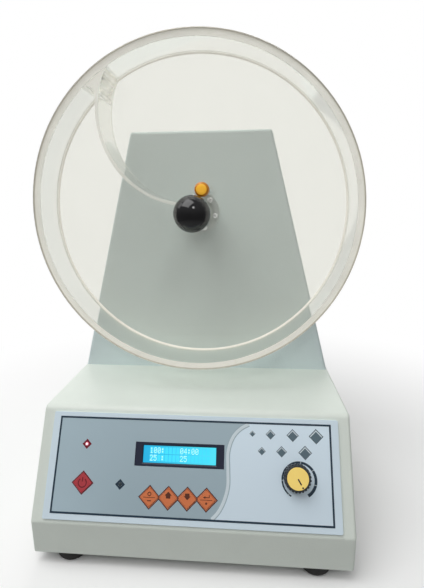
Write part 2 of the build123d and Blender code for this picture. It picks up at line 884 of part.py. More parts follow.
with BuildPart() as control_nut:
    with BuildSketch(panel_plane.offset(panel_thickness)):
        with Locations(dial_place):
            RegularPolygon(control_nut_size / 2, 6, major_radius=False)
            Circle(control_bush_radius, mode=Mode.SUBTRACT)
    extrude(amount=control_nut_thickness)
save(control_nut.part, "control_nut")

with BuildPart() as control_shaft:
    with BuildSketch(panel_plane.offset(assembly_gap - sheet - control_body_depth / 2)):
        with Locations(dial_place):
            Circle(control_shaft_radius)
    extrude(amount=control_shaft_end - assembly_gap + sheet + control_body_depth / 2)
save(control_shaft.part, "control_shaft")

with BuildPart() as speed_knob:
    with BuildSketch(panel_plane.offset(knob_base)):
        with Locations(dial_place):
            Circle(speed_knob_radius)
            with PolarLocations(speed_knob_radius, speed_knob_flutes):
                Circle(speed_knob_flute_radius, mode=Mode.SUBTRACT)
    extrude(amount=speed_knob_height - speed_knob_brow)
    with BuildSketch(panel_plane.offset(knob_top - speed_knob_brow)):
        with Locations(dial_place):
            Circle(speed_knob_radius - speed_knob_flute_radius)
    extrude(amount=speed_knob_brow, taper=speed_knob_brow_taper)
    with BuildSketch(panel_plane.offset(knob_base)):
        with Locations(dial_place):
            Circle(control_nut_size / 2 / cos(radians(30)) + loose_clearance)
    extrude(amount=knob_cavity_top - knob_base, mode=Mode.SUBTRACT)
    with BuildSketch(panel_plane.offset(knob_base)):
        with Locations(dial_place):
            Circle(control_shaft_radius)
    extrude(amount=control_shaft_end - knob_base, mode=Mode.SUBTRACT)
    with BuildSketch(panel_plane.offset(knob_top)):
        with Locations(dial_place):
            Circle(speed_cap_radius)
    extrude(amount=-speed_cap_recess, mode=Mode.SUBTRACT)
save(speed_knob.part, "speed_knob")

with BuildPart() as speed_knob_cap:
    with BuildSketch(panel_plane.offset(knob_top - speed_cap_recess)):
        with Locations(dial_place):
            Circle(speed_cap_radius)
    extrude(amount=speed_cap_recess + speed_cap_proud)
    fillet(speed_knob_cap.faces().sort_by(panel_axis)[-1].edges(), speed_cap_proud / 2)
    with BuildSketch(panel_plane.offset(knob_top + speed_cap_proud)):
        with Locations(dial_place):
            with Locations(Location((0, 0), pointer_heading)):
                Rectangle(pointer_length, pointer_width, align=(Align.MIN, Align.CENTER))
    extrude(amount=-pointer_depth, mode=Mode.SUBTRACT)
save(speed_knob_cap.part, "speed_knob_cap")

# Power board on the tray: transformer, capacitors and terminals
with BuildPart() as power_board:
    with BuildSketch(Plane.XY.offset(power_board_z)):
        with Locations((power_board_x, power_board_y)):
            Rectangle(power_board_width, power_board_depth)
    extrude(amount=board_thickness)
    with BuildSketch(Plane.XY.offset(power_board_z + board_thickness)):
        with Locations((power_board_x + power_board_width / 4, power_board_y)):
            Rectangle(transformer_width, transformer_length)
    extrude(amount=transformer_height)
    with BuildSketch(Plane.XY.offset(power_board_z + board_thickness)):
        with Locations((power_board_x - power_board_width / 4, power_board_y)):
            with corners(capacitor_pitch, capacitor_pitch):
                Circle(capacitor_radius)
    extrude(amount=capacitor_height)
save(power_board.part, "power_board")

# Mains inlet with three pins, and the fuse drawer under it
with BuildPart() as mains_inlet:
    with BuildSketch(facing_back(inlet_x, back_y, inlet_z)):
        RectangleRounded(inlet_flange_width, inlet_flange_height, corner_radius)
    extrude(amount=inlet_flange_thickness)
    with BuildSketch(facing_back(inlet_x, back_y, inlet_z)):
        Rectangle(inlet_flange_width - 2 * inlet_body_inset, inlet_flange_height - 2 * inlet_body_inset)
    extrude(amount=-inlet_body_depth)
    with BuildSketch(facing_back(inlet_x, inlet_face_y, inlet_z + inlet_recess_rise)) as mouth:
        Rectangle(inlet_recess_width, inlet_recess_height)
        chamfer(mouth.vertices().group_by(Axis.Y)[-1], inlet_recess_chamfer)
    extrude(amount=-inlet_recess_depth, mode=Mode.SUBTRACT)
    with BuildSketch(facing_back(inlet_x, inlet_face_y - inlet_recess_depth, inlet_z)):
        with Locations((-inlet_pin_spread, inlet_recess_rise), (inlet_pin_spread, inlet_recess_rise)):
            Rectangle(inlet_pin_width, inlet_pin_height)
        with Locations((0, inlet_recess_rise + inlet_earth_rise)):
            Rectangle(inlet_pin_width, inlet_pin_height)
    extrude(amount=inlet_recess_depth - inlet_flange_thickness)
    with BuildSketch(facing_back(inlet_x, inlet_face_y, inlet_z - fuse_drop)):
        Rectangle(fuse_drawer_width + 2 * assembly_gap, fuse_drawer_height + 2 * assembly_gap)
    extrude(amount=-fuse_drawer_depth - assembly_gap, mode=Mode.SUBTRACT)
save(mains_inlet.part, "mains_inlet")

with BuildPart() as fuse_drawer:
    with BuildSketch(facing_back(inlet_x, inlet_face_y, inlet_z - fuse_drop)):
        Rectangle(fuse_drawer_width, fuse_drawer_height)
    extrude(amount=-fuse_drawer_depth)
    with BuildSketch(facing_back(inlet_x, inlet_face_y, inlet_z - fuse_drop)):
        Rectangle(fuse_pull_width, fuse_pull_height)
    extrude(amount=fuse_drawer_proud)
save(fuse_drawer.part, "fuse_drawer")

# Rocker switch: the frame, and the rocker on its pins
with BuildPart() as switch_frame:
    with BuildSketch(facing_back(switch_x, back_y, inlet_z)):
        RectangleRounded(switch_frame_width, switch_frame_height, corner_radius / 2)
    extrude(amount=switch_frame_lip)
    with BuildSketch(facing_back(switch_x, back_y, inlet_z)):
        Rectangle(switch_frame_width - switch_frame_lip, switch_frame_height - switch_frame_lip)
    extrude(amount=-switch_body_depth)
    with BuildSketch(facing_back(switch_x, back_y + switch_frame_lip, inlet_z)):
        Rectangle(rocker_width + 2 * loose_clearance, 2 * rocker_radius + 2 * loose_clearance)
    extrude(amount=-rocker_pivot_depth - rocker_swing - loose_clearance, mode=Mode.SUBTRACT)
    with BuildSketch(rocker_plane):
        Circle(rocker_pin_radius + running_clearance)
    extrude(amount=rocker_width / 2 + rocker_pin_bite + running_clearance, both=True, mode=Mode.SUBTRACT)
save(switch_frame.part, "switch_frame")

with BuildPart() as rocker:
    with BuildSketch(rocker_plane) as rocker_profile:
        with BuildLine():
            upper_end = (rocker_shoulder, rocker_end)
            lower_end = (rocker_shoulder, -rocker_end)
            upper_heel = (-rocker_heel, rocker_heel_reach)
            lower_heel = (-rocker_heel, -rocker_heel_reach)
            Polyline(upper_end, (rocker_shoulder * rocker_dip, 0), lower_end)
            ThreePointArc(upper_end, (0, rocker_radius), upper_heel)
            Line(upper_heel, lower_heel)
            ThreePointArc(lower_heel, (0, -rocker_radius), lower_end)
        make_face()
    extrude(amount=rocker_width / 2, both=True)
    with BuildSketch(rocker_plane):
        Circle(rocker_pin_radius)
    extrude(amount=rocker_width / 2 + rocker_pin_bite, both=True)
save(rocker.part, "rocker")

# Bearing housing, its two bearings, and the gear motor on pillars behind it
with BuildPart() as bearing_housing:
    with BuildSketch(across(housing_seat_y)):
        RectangleRounded(housing_flange_size, housing_flange_size, 2 * pillar_radius)
        with pillars():
            Circle(housing_screw_radius, mode=Mode.SUBTRACT)
    extrude(amount=-housing_flange_thickness)
    with BuildSketch(across(housing_seat_y)):
        Circle(housing_barrel_radius)
    extrude(amount=-housing_length)
    with BuildSketch(across(housing_seat_y)):
        Circle(housing_spigot_radius)
    extrude(amount=housing_seat_y - housing_front_y)
    with BuildSketch(across(housing_front_y)):
        Circle(bearing_outer_radius - bearing_outer_wall / 2)
    extrude(amount=-(housing_back_y - housing_front_y), mode=Mode.SUBTRACT)
    seats = ((housing_front_y, -bearing_width), (housing_back_y, bearing_width))
    for y, depth in seats:
        with BuildSketch(across(y)):
            Circle(bearing_outer_radius)
        extrude(amount=depth, mode=Mode.SUBTRACT)
save(bearing_housing.part, "bearing_housing")


def make_bearing(end, y):
    """The fixed ring of a sealed bearing with its two shields, and the ring that turns with the shaft."""
    with BuildPart() as outer_ring:
        with BuildSketch(across(y)):
            Circle(bearing_outer_radius)
            Circle(bearing_outer_radius - bearing_outer_wall, mode=Mode.SUBTRACT)
        extrude(amount=-bearing_width)
        for face_y, depth in ((y, -bearing_shield), (y + bearing_width, bearing_shield)):
            with BuildSketch(across(face_y)):
                Circle(bearing_outer_radius - bearing_outer_wall / 2)
                Circle(bearing_inner_radius + loose_clearance, mode=Mode.SUBTRACT)
            extrude(amount=depth)
    save(outer_ring.part, f"{end}_bearing_outer_ring")
    with BuildPart() as inner_ring:
        with BuildSketch(across(y)):
            Circle(bearing_inner_radius)
            Circle(shaft_radius, mode=Mode.SUBTRACT)
        extrude(amount=-bearing_width)
    save(inner_ring.part, f"{end}_bearing_inner_ring")


make_bearing("front", housing_front_y)
make_bearing("rear", housing_back_y - bearing_width)

with BuildPart() as motor_pillars:
    with BuildSketch(across(housing_seat_y + housing_flange_thickness)):
        with pillars():
            RegularPolygon(pillar_radius, 6, major_radius=False)
            Circle(housing_screw_radius, mode=Mode.SUBTRACT)
    extrude(amount=-(motor_plate_y - housing_seat_y - housing_flange_thickness))
save(motor_pillars.part, "motor_pillars")

with BuildPart() as motor_plate:
    with BuildSketch(across(motor_plate_y)):
        RectangleRounded(housing_flange_size, housing_flange_size, 2 * pillar_radius)
        Circle(output_shaft_radius + 2 * coupling_clearance, mode=Mode.SUBTRACT)
        with pillars():
            Circle(housing_screw_radius, mode=Mode.SUBTRACT)
        with gearbox_holes():
            Circle(gearbox_screw_radius, mode=Mode.SUBTRACT)
    extrude(amount=-motor_plate_thickness)
save(motor_plate.part, "motor_plate")

with BuildPart() as motor_screws:
    with BuildSketch(across(motor_plate_y)):
        with gearbox_holes():
            Circle(housing_screw_head_radius)
    extrude(amount=housing_screw_head_height)
    with BuildSketch(across(motor_plate_y)):
        with gearbox_holes():
            Circle(gearbox_screw_radius)
    extrude(amount=-motor_plate_thickness)
    with BuildSketch(across(gearbox_y)):
        with pillars():
            Circle(housing_screw_head_radius)
    extrude(amount=-housing_screw_head_height)
    with BuildSketch(across(gearbox_y)):
        with pillars():
            Circle(housing_screw_radius)
    extrude(amount=motor_plate_thickness + housing_stud_bite)
save(motor_screws.part, "motor_screws")

with BuildPart() as gearbox:
    with BuildSketch(across(gearbox_y)):
        with Locations((0, (gearbox_above_axis - gearbox_below_axis) / 2)):
            RectangleRounded(gearbox_width, gearbox_above_axis + gearbox_below_axis, gearbox_corner_radius)
    extrude(amount=-gearbox_thickness)
    with BuildSketch(across(gearbox_y)):
        Circle(output_shaft_radius + running_clearance)
    extrude(amount=-gearbox_thickness / 2, mode=Mode.SUBTRACT)
    chamfer(gearbox.faces().sort_by(Axis.Y)[-1].edges(), coupling_clearance)
save(gearbox.part, "gearbox")

with BuildPart() as gear_motor:
    with BuildSketch(Plane.XY.offset(axis_height - gearbox_below_axis)):
        with Locations((0, gearbox_y + gearbox_thickness / 2)):
            Circle(motor_radius)
    extrude(amount=-motor_length)
    fillet(gear_motor.faces().sort_by(Axis.Z)[0].edges(), motor_edge_radius)
    with BuildSketch(Plane.XY.offset(axis_height - gearbox_below_axis - motor_length)):
        with Locations((0, gearbox_y + gearbox_thickness / 2)):
            Circle(motor_end_boss_radius)
    extrude(amount=-motor_end_boss_height)
save(gear_motor.part, "gear_motor")

with BuildPart() as output_shaft:
    with BuildSketch(across(coupling_back_y - coupling_grip)):
        Circle(output_shaft_radius)
    extrude(amount=-(gearbox_y + output_shaft_bite - coupling_back_y + coupling_grip))
save(output_shaft.part, "output_shaft")

with BuildPart() as shaft_coupling:
    with BuildSketch(across(coupling_front_y)):
        Circle(coupling_radius)
    extrude(amount=-coupling_length)
    with BuildSketch(across(coupling_front_y)):
        Circle(shaft_radius)
    extrude(amount=-coupling_length / 2, mode=Mode.SUBTRACT)
    with BuildSketch(across(coupling_back_y)):
        Circle(output_shaft_radius)
    extrude(amount=coupling_length / 2, mode=Mode.SUBTRACT)
    with BuildSketch(across(coupling_front_y)):
        with Locations((0, coupling_radius / 2)):
            Rectangle(coupling_slit, coupling_radius)
    extrude(amount=-coupling_length, mode=Mode.SUBTRACT)
save(shaft_coupling.part, "shaft_coupling")

# Drive shaft: a step behind the drum, a nose inside it and a stud for the knob
with BuildPart() as drive_shaft:
    with BuildSketch(Plane.YZ):
        with BuildLine():
            Polyline(
                (shaft_back_y, axis_height),
                (shaft_back_y, axis_height + shaft_radius),
                (cavity_back_y, axis_height + shaft_radius),
                (cavity_back_y, axis_height + shaft_nose_radius),
                (cavity_front_y, axis_height + shaft_nose_radius),
                (cavity_front_y, axis_height + stud_radius),
                (stud_tip_y + stud_chamfer, axis_height + stud_radius),
                (stud_tip_y, axis_height + stud_radius - stud_chamfer),
                (stud_tip_y, axis_height),
                close=True,
            )
        make_face()
    revolve(axis=drum_axis)
save(drive_shaft.part, "drive_shaft")

with BuildPart() as hub_flange:
    with BuildSketch(across(drum_back_y)):
        Circle(hub_flange_radius)
    extrude(amount=-hub_flange_thickness)
    with BuildSketch(across(drum_back_y)):
        Circle(hub_boss_radius)
    extrude(amount=-(housing_front_y - hub_boss_gap - drum_back_y))
    with BuildSketch(across(drum_back_y)):
        Circle(shaft_radius)
        with hub_screw_ring():
            Circle(hub_screw_radius)
    extrude(amount=-(housing_front_y - drum_back_y), mode=Mode.SUBTRACT)
save(hub_flange.part, "hub_flange")

with BuildPart() as hub_screws:
    with BuildSketch(across(cavity_back_y)):
        with hub_screw_ring():
            Circle(hub_screw_head_radius)
    extrude(amount=hub_screw_head_height)
    fillet(hub_screws.faces().sort_by(Axis.Y)[:hub_screw_count].edges(), hub_screw_head_height / 2)
    with BuildSketch(across(cavity_back_y)):
        with hub_screw_ring():
            Circle(hub_screw_radius)
    extrude(amount=-(drum_back_thickness + hub_flange_thickness))
save(hub_screws.part, "hub_screws")

# Drum: clear back, wall and hub ring
with BuildPart() as drum_back:
    with BuildSketch(across(cavity_back_y)):
        Circle(drum_radius)
        Circle(shaft_radius, mode=Mode.SUBTRACT)
        with hub_screw_ring():
            Circle(hub_screw_radius, mode=Mode.SUBTRACT)
        with Locations(peg_place):
            Circle(peg_radius + loose_clearance, mode=Mode.SUBTRACT)
    extrude(amount=-drum_back_thickness)
save(drum_back.part, "drum_back")

with BuildPart() as drum_ring:
    with BuildSketch(across(cavity_front_y)):
        Circle(drum_radius)
        Circle(drum_inner_radius, mode=Mode.SUBTRACT)
    extrude(amount=-drum_depth)
save(drum_ring.part, "drum_ring")

with BuildPart() as hub_ring:
    with BuildSketch(across(cavity_front_y)):
        Circle(hub_ring_radius)
        Circle(hub_ring_radius - hub_ring_wall, mode=Mode.SUBTRACT)
    extrude(amount=-drum_depth)
save(hub_ring.part, "hub_ring")

# Lifting arm: half of a ring that leaves the hub and rises to the wall, flared where it is glued
with BuildPart() as drum_arm:
    with BuildSketch(across(cavity_front_y + arm_lid_gap)) as arm_profile:
        with Locations(arm_centre):
            Circle(arm_outer_radius)
            Circle(arm_inner_radius, mode=Mode.SUBTRACT)
        with Locations(Location((0, 0), arm_heading)):
            left_half = (Align.CENTER, Align.MIN)
            Rectangle(2 * drum_radius, 2 * drum_radius, align=left_half, mode=Mode.INTERSECT)
        add(Circle(drum_radius, mode=Mode.PRIVATE) - Circle(drum_inner_radius, mode=Mode.PRIVATE))
        Circle(hub_ring_radius)
        wall_roots = arm_profile.vertices().filter_by(
            lambda corner: corner.X < 0 and abs(hypot(corner.X, corner.Y) - drum_inner_radius) < glue_gap
        )
        fillet(wall_roots, arm_root_radius)
        hub_roots = arm_profile.vertices().filter_by(
            lambda corner: corner.X < 0 and abs(hypot(corner.X, corner.Y) - hub_ring_radius) < glue_gap
        )
        fillet(hub_roots, arm_hub_radius)
        Circle(drum_inner_radius - glue_gap, mode=Mode.INTERSECT)
        Circle(hub_ring_radius + glue_gap, mode=Mode.SUBTRACT)
    extrude(amount=arm_lid_gap - drum_depth)
save(drum_arm.part, "drum_arm")

# Lid, its locating peg, and the ball knob that holds it
with BuildPart() as drum_lid:
    with BuildSketch(across(lid_front_y)):
        Circle(drum_radius)
        Circle(stud_radius + loose_clearance, mode=Mode.SUBTRACT)
        with Locations(peg_place):
            Circle(peg_radius, mode=Mode.SUBTRACT)
    extrude(amount=-lid_thickness)
    chamfer(drum_lid.faces().sort_by(Axis.Y)[0].outer_wire().edges(), lid_edge_chamfer)
save(drum_lid.part, "drum_lid")

with BuildPart() as locating_peg:
    with BuildSketch(across(lid_front_y - peg_cap_length + peg_cap_wall)):
        with Locations(peg_place):
            Circle(peg_radius)
    extrude(amount=-(peg_cap_length - peg_cap_wall + lid_thickness + drum_depth + peg_bite))
    chamfer(locating_peg.faces().sort_by(Axis.Y)[-1].edges(), peg_tip_chamfer)
save(locating_peg.part, "locating_peg")

with BuildPart() as peg_cap:
    with BuildSketch(across(lid_front_y)):
        with Locations(peg_place):
            Circle(peg_cap_radius)
    extrude(amount=peg_cap_length)
    chamfer(peg_cap.faces().sort_by(Axis.Y)[0].edges(), peg_cap_radius - peg_cap_face_radius)
    with BuildSketch(across(lid_front_y)):
        with Locations(peg_place):
            Circle(peg_radius)
    extrude(amount=peg_cap_length - peg_cap_wall, mode=Mode.SUBTRACT)
save(peg_cap.part, "peg_cap")

with BuildPart() as knob_washer:
    with BuildSketch(across(lid_front_y)):
        Circle(washer_radius)
        Circle(stud_radius + loose_clearance, mode=Mode.SUBTRACT)
    extrude(amount=washer_thickness)
save(knob_washer.part, "knob_washer")

with BuildPart() as ball_knob:
    with Locations((0, ball_y, axis_height)):
        Sphere(ball_radius)
    with BuildSketch(across(knob_face_y)):
        Circle(ball_radius)
    extrude(amount=-ball_radius, mode=Mode.SUBTRACT)
    with BuildSketch(across(knob_face_y)):
        Circle(insert_radius)
    extrude(amount=insert_length, mode=Mode.SUBTRACT)
save(ball_knob.part, "ball_knob")

with BuildPart() as knob_insert:
    with BuildSketch(across(knob_face_y)):
        Circle(insert_radius)
        Circle(stud_radius + running_clearance, mode=Mode.SUBTRACT)
    extrude(amount=insert_length)
save(knob_insert.part, "knob_insert")
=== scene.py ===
"""Finishes, prints and fine pieces of a tablet friability tester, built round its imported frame.

Metres, X to the right, Y to the back, Z up. Places on the console's slope are given along its width (u)
and up it (v) from the middle of the front plate's lower edge, and square to the plate's face (w).
"""

import json
from functools import cache
from math import asin, cos, hypot, pi, radians, sin

import bmesh
import bpy
from bpy.props import FloatProperty, FloatVectorProperty, IntProperty, PointerProperty
from mathutils import Matrix, Vector
from mathutils.bvhtree import BVHTree
from mathutils.geometry import interpolate_bezier, tessellate_polygon


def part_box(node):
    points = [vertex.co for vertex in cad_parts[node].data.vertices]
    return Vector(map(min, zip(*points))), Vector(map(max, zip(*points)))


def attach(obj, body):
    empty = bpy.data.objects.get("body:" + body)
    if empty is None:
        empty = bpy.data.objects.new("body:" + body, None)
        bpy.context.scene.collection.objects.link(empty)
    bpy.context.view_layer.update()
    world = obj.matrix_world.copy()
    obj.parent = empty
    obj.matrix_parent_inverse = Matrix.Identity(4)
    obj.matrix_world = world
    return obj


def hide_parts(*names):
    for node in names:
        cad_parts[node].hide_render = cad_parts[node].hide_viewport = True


bl_info = {
    "name": "Tablet Friability Tester",
    "version": (1, 0, 0),
    "blender": (4, 5, 0),
    "location": "3D View > Sidebar > Tester",
    "description": "Finishes, prints and fine pieces for a drum tester's packed frame",
    "category": "Object",
}

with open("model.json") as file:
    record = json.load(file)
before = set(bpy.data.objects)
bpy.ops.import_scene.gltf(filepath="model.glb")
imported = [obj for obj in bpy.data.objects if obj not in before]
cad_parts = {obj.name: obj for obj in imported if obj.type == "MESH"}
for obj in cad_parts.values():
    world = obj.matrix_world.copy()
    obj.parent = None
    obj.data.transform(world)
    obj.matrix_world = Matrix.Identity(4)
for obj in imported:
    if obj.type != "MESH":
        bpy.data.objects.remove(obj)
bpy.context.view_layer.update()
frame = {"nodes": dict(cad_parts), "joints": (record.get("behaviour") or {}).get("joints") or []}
nodes = frame["nodes"]
joints = {joint["name"]: joint for joint in frame["joints"]}

MM = 0.001
DRUM_FRONT = Vector((0, -1, 0))
KEYS = ("set_key", "up_key", "down_key", "enter_key")
ACRYLIC_IOR = 1.49


def corners_of(node):
    """Every vertex of a CAD node."""
    return [vertex.co for vertex in nodes[node].data.vertices]


def middle_of(node):
    """The middle of a CAD node's box."""
    low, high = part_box(node)
    return (low + high) / 2


def slope_frame():
    """The front plate's own frame: along it, up it and out of it, from the middle of its lower edge."""
    out = Vector(joints["speed_knob_turn"]["axis"])
    along = Vector((1, 0, 0))
    up = out.cross(along)
    low = min(point.dot(up) for point in corners_of("front_panel"))
    face = max(point.dot(out) for point in corners_of("front_panel"))
    turn = Matrix((along, up, out)).transposed().to_4x4()
    return Matrix.Translation(up * low + out * face) @ turn


SLOPE = slope_frame()
SLOPE_INVERSE = SLOPE.inverted()
AXIS_HEIGHT = joints["drum_spin"]["pos_m"][2]
RIM_RADIUS = max(point.x for point in corners_of("drum_back"))


def facing(place, out):
    """A frame at a place, with its third axis along out and its second as near upright as can be."""
    third = Vector(out).normalized()
    upright = Vector((0, 0, 1)) if abs(third.z) < 0.9 else Vector((0, 1, 0))
    first = upright.cross(third).normalized()
    turn = Matrix((first, third.cross(first), third)).transposed().to_4x4()
    return Matrix.Translation(place) @ turn


def across_drum(y):
    """A frame on the drum's axis at depth y that faces the front."""
    return facing((0, y, AXIS_HEIGHT), DRUM_FRONT)


def from_axis(point):
    """A point's distance from the drum's axis."""
    return hypot(point.x, point.z - AXIS_HEIGHT)


def slope_box(node):
    """The lowest and highest u, v and w of a CAD node on the slope."""
    local = [SLOPE_INVERSE @ point for point in corners_of(node)]
    return [(min(axis), max(axis)) for axis in zip(*local)]


def slope_centre(node):
    """The middle of a CAD node on the slope."""
    (left, right), (low, high), _ = slope_box(node)
    return (left + right) / 2, (low + high) / 2


# Properties


def linear(shade):
    """A display colour in 8-bit values as a linear colour."""
    parts = [value / 255 for value in shade]
    return tuple(part / 12.92 if part <= 0.04045 else ((part + 0.055) / 1.055) ** 2.4 for part in parts)


def tone(name, description, shade):
    """A colour that a user may change, given as it is seen on a display."""
    return FloatVectorProperty(
        name=name, description=description, subtype="COLOR", size=3, min=0, max=1, default=linear(shade)
    )


def setting(name, description, value, **kind):
    """A number that a user may change, with its unit or subtype."""
    return FloatProperty(name=name, description=description, default=value, **kind)


def length(name, description, size_mm):
    """A length that a user may change, given in millimetres."""
    return setting(name, description, size_mm * MM, unit="LENGTH", min=0)


def share(name, description, value):
    """A share from 0 to 1 that a user may change."""
    return setting(name, description, value, subtype="FACTOR", min=0, max=1)


class TesterTones(bpy.types.PropertyGroup):
    """Colours of the tester's paints, prints and plastics."""

    cover: tone("Cover", "Powder coat of the console", (222, 229, 221))
    # The column's coat is the console's paint tinted bluer: painted bluish shade on its upright faces.
    column: tone("Column", "Powder coat of the column", (224, 237, 238))
    plate: tone("Plate", "Bare rim of the front plate", (216, 232, 242))
    light_field: tone("Light field", "Print round the dial", (216, 232, 243))
    shade_field: tone("Shade field", "Print round the keys and display", (162, 181, 190))
    border: tone("Border", "Frame line and dial scale", (36, 56, 72))
    slate: tone("Slate", "Rims of the diamond marks", (78, 96, 106))
    heart: tone("Diamond heart", "Middle of the diamond marks", (92, 112, 122))
    glint: tone("Glint", "Pale lines in the prints", (212, 224, 230))
    orange: tone("Orange keys", "Caps of the four keys", (216, 122, 76))
    key_outline: tone("Key outlines", "Lines round the orange keys", (70, 40, 44))
    orange_mark: tone("Key marks", "Marks on the orange keys", (92, 46, 30))
    red: tone("Red key", "Cap of the power key", (182, 62, 70))
    red_mark: tone("Power mark", "Mark on the power key", (112, 28, 38))
    lamp_frame: tone("Lamp frame", "Diamond round the power lamp", (122, 22, 40))
    yellow: tone("Knob cap", "Cap of the speed knob", (255, 219, 122))
    # The peg cap's amber is darker than its face's: painted shade on the cap's side.
    amber: tone("Peg cap", "Cap over the locating peg", (205, 130, 30))
    amber_face: tone("Peg cap face", "Face of the peg's cap", (255, 188, 58))
    display_dim: tone("Display, dim end", "Backlight at the display's left", (20, 176, 228))
    display_bright: tone("Display, bright end", "Backlight at the display's right", (84, 238, 255))
    digits: tone("Digits", "Lit dots of the display", (176, 234, 252))
    acrylic: tone("Acrylic", "Tint of the clear drum", (252, 252, 248))
    # Painted glow: emission that stands for light on the drum's cut edges and its glue bead.
    painted_edge_glow: tone("Acrylic edges", "Light that leaves the sheet at its cut edges", (252, 246, 234))
    # Painted shade: a darker beige line round the drum's rim, where the cut edge shows dark.
    rim_shade_line: tone("Acrylic corners", "Dusty corner round the drum's rim", (178, 169, 152))


class TesterSizes(bpy.types.PropertyGroup):
    """Sizes of the prints and fine pieces."""

    film: length("Film", "Thickness of one printed layer", 0.04)
    border_inset: length("Border inset", "From the plate's side to the frame line", 7.1)
    border_low: length("Border foot", "From the plate's lower edge to the frame line", 5.6)
    border_high: length("Border head", "From the plate's upper edge to the frame line", 4.5)
    border_line: length("Border line", "Width of the frame line", 1.6)
    divider_line: length("Divider", "Width of the curved line between the fields", 4.2)
    dial_radius: length("Dial radius", "Outer radius of the speed scale", 15.0)
    dial_shift: FloatVectorProperty(
        name="Dial shift", description="From the knob's axis to the printed scale, along and up the slope",
        unit="LENGTH", size=2, default=(2.2 * MM, -2.5 * MM),
    )
    dial_thin: length("Scale start", "Width of the scale at its slow end", 1.1)
    dial_thick: length("Scale end", "Width of the scale at its fast end", 2.6)
    edge: length("Edge", "Softened edge of plates and mouldings", 0.25)
    glue: length("Glue bead", "Width of the bead between the drum's wall and its back disc", 1.2)
    dot: length("Display dot", "Pitch of the display's dots across", 0.56)
    round_steps: IntProperty(name="Round steps", description="Sides of a turned piece", min=12, default=64)


class TesterStage(bpy.types.PropertyGroup):
    """Light, floor and camera."""

    floor_width: setting("Floor", "Width of the floor", 8, unit="LENGTH")
    floor_clear: setting("White from", "Distance from the middle where the floor fades", 0.22, unit="LENGTH")
    floor_far: setting("White at", "Distance from the middle where the floor is white", 0.62, unit="LENGTH")
    key_power: setting("Key light", "Power of the high light", 20, unit="POWER")
    window_power: setting("Window", "Power of the left light", 2.5, unit="POWER")
    front_power: setting("Front", "Power of the front light", 2.6, unit="POWER")
    back_power: setting("Back", "Power of the light behind", 6, unit="POWER")
    room_high: share("Room, high", "Brightness of the room overhead", 0.36)
    room_low: share("Room, low", "Brightness of the room near the floor", 0.16)
    camera_place: FloatVectorProperty(
        name="Camera", description="Where the camera stands", subtype="TRANSLATION", size=3,
        default=(0.0458, -0.4277, 0.3107),
    )
    camera_yaw: setting("Yaw", "Turn to the right", -0.083, subtype="ANGLE")
    camera_pitch: setting("Pitch", "Tilt down", 0.2203, subtype="ANGLE")
    camera_roll: setting("Roll", "Turn about the view", 0.0096, subtype="ANGLE")
    focal_length: setting("Focal length", "In pixels of the image", 404.7, subtype="PIXEL")
    image_height: setting("Image height", "In pixels", 588, subtype="PIXEL")


def shade_of(name):
    """One of the colours that a user may change."""
    return tuple(getattr(bpy.context.scene.tester_tones, name))


def sizes():
    """The sizes that a user may change."""
    return bpy.context.scene.tester_sizes


# Shader maths


class Wire:
    """A shader output that stands in expressions; each sign adds the Math node that works it out."""

    def __init__(self, surface, socket):
        self.surface = surface
        self.socket = socket

    def math(self, operation, *terms):
        return self.surface.node("ShaderNodeMath", {"operation": operation}, dict(enumerate(terms)))

    def __add__(self, other):
        return self.math("ADD", self, other)

    def __sub__(self, other):
        return self.math("SUBTRACT", self, other)

    def __rsub__(self, other):
        return self.math("SUBTRACT", other, self)

    def __mul__(self, other):
        return self.math("MULTIPLY", self, other)

    def __gt__(self, other):
        return self.math("GREATER_THAN", self, other)

    __radd__ = __add__
    __rmul__ = __mul__

    def most(self, other):
        return self.math("MAXIMUM", self, other)

    def wave(self):
        return self.math("SINE", self)

    def root(self):
        return self.math("SQRT", self)

    def between(self, low, high):
        """0 below low, 1 above high, and smooth between them."""
        return self.surface.node(
            "ShaderNodeMapRange",
            {"interpolation_type": "SMOOTHSTEP"},
            {"Value": self, "From Min": low, "From Max": high},
        )


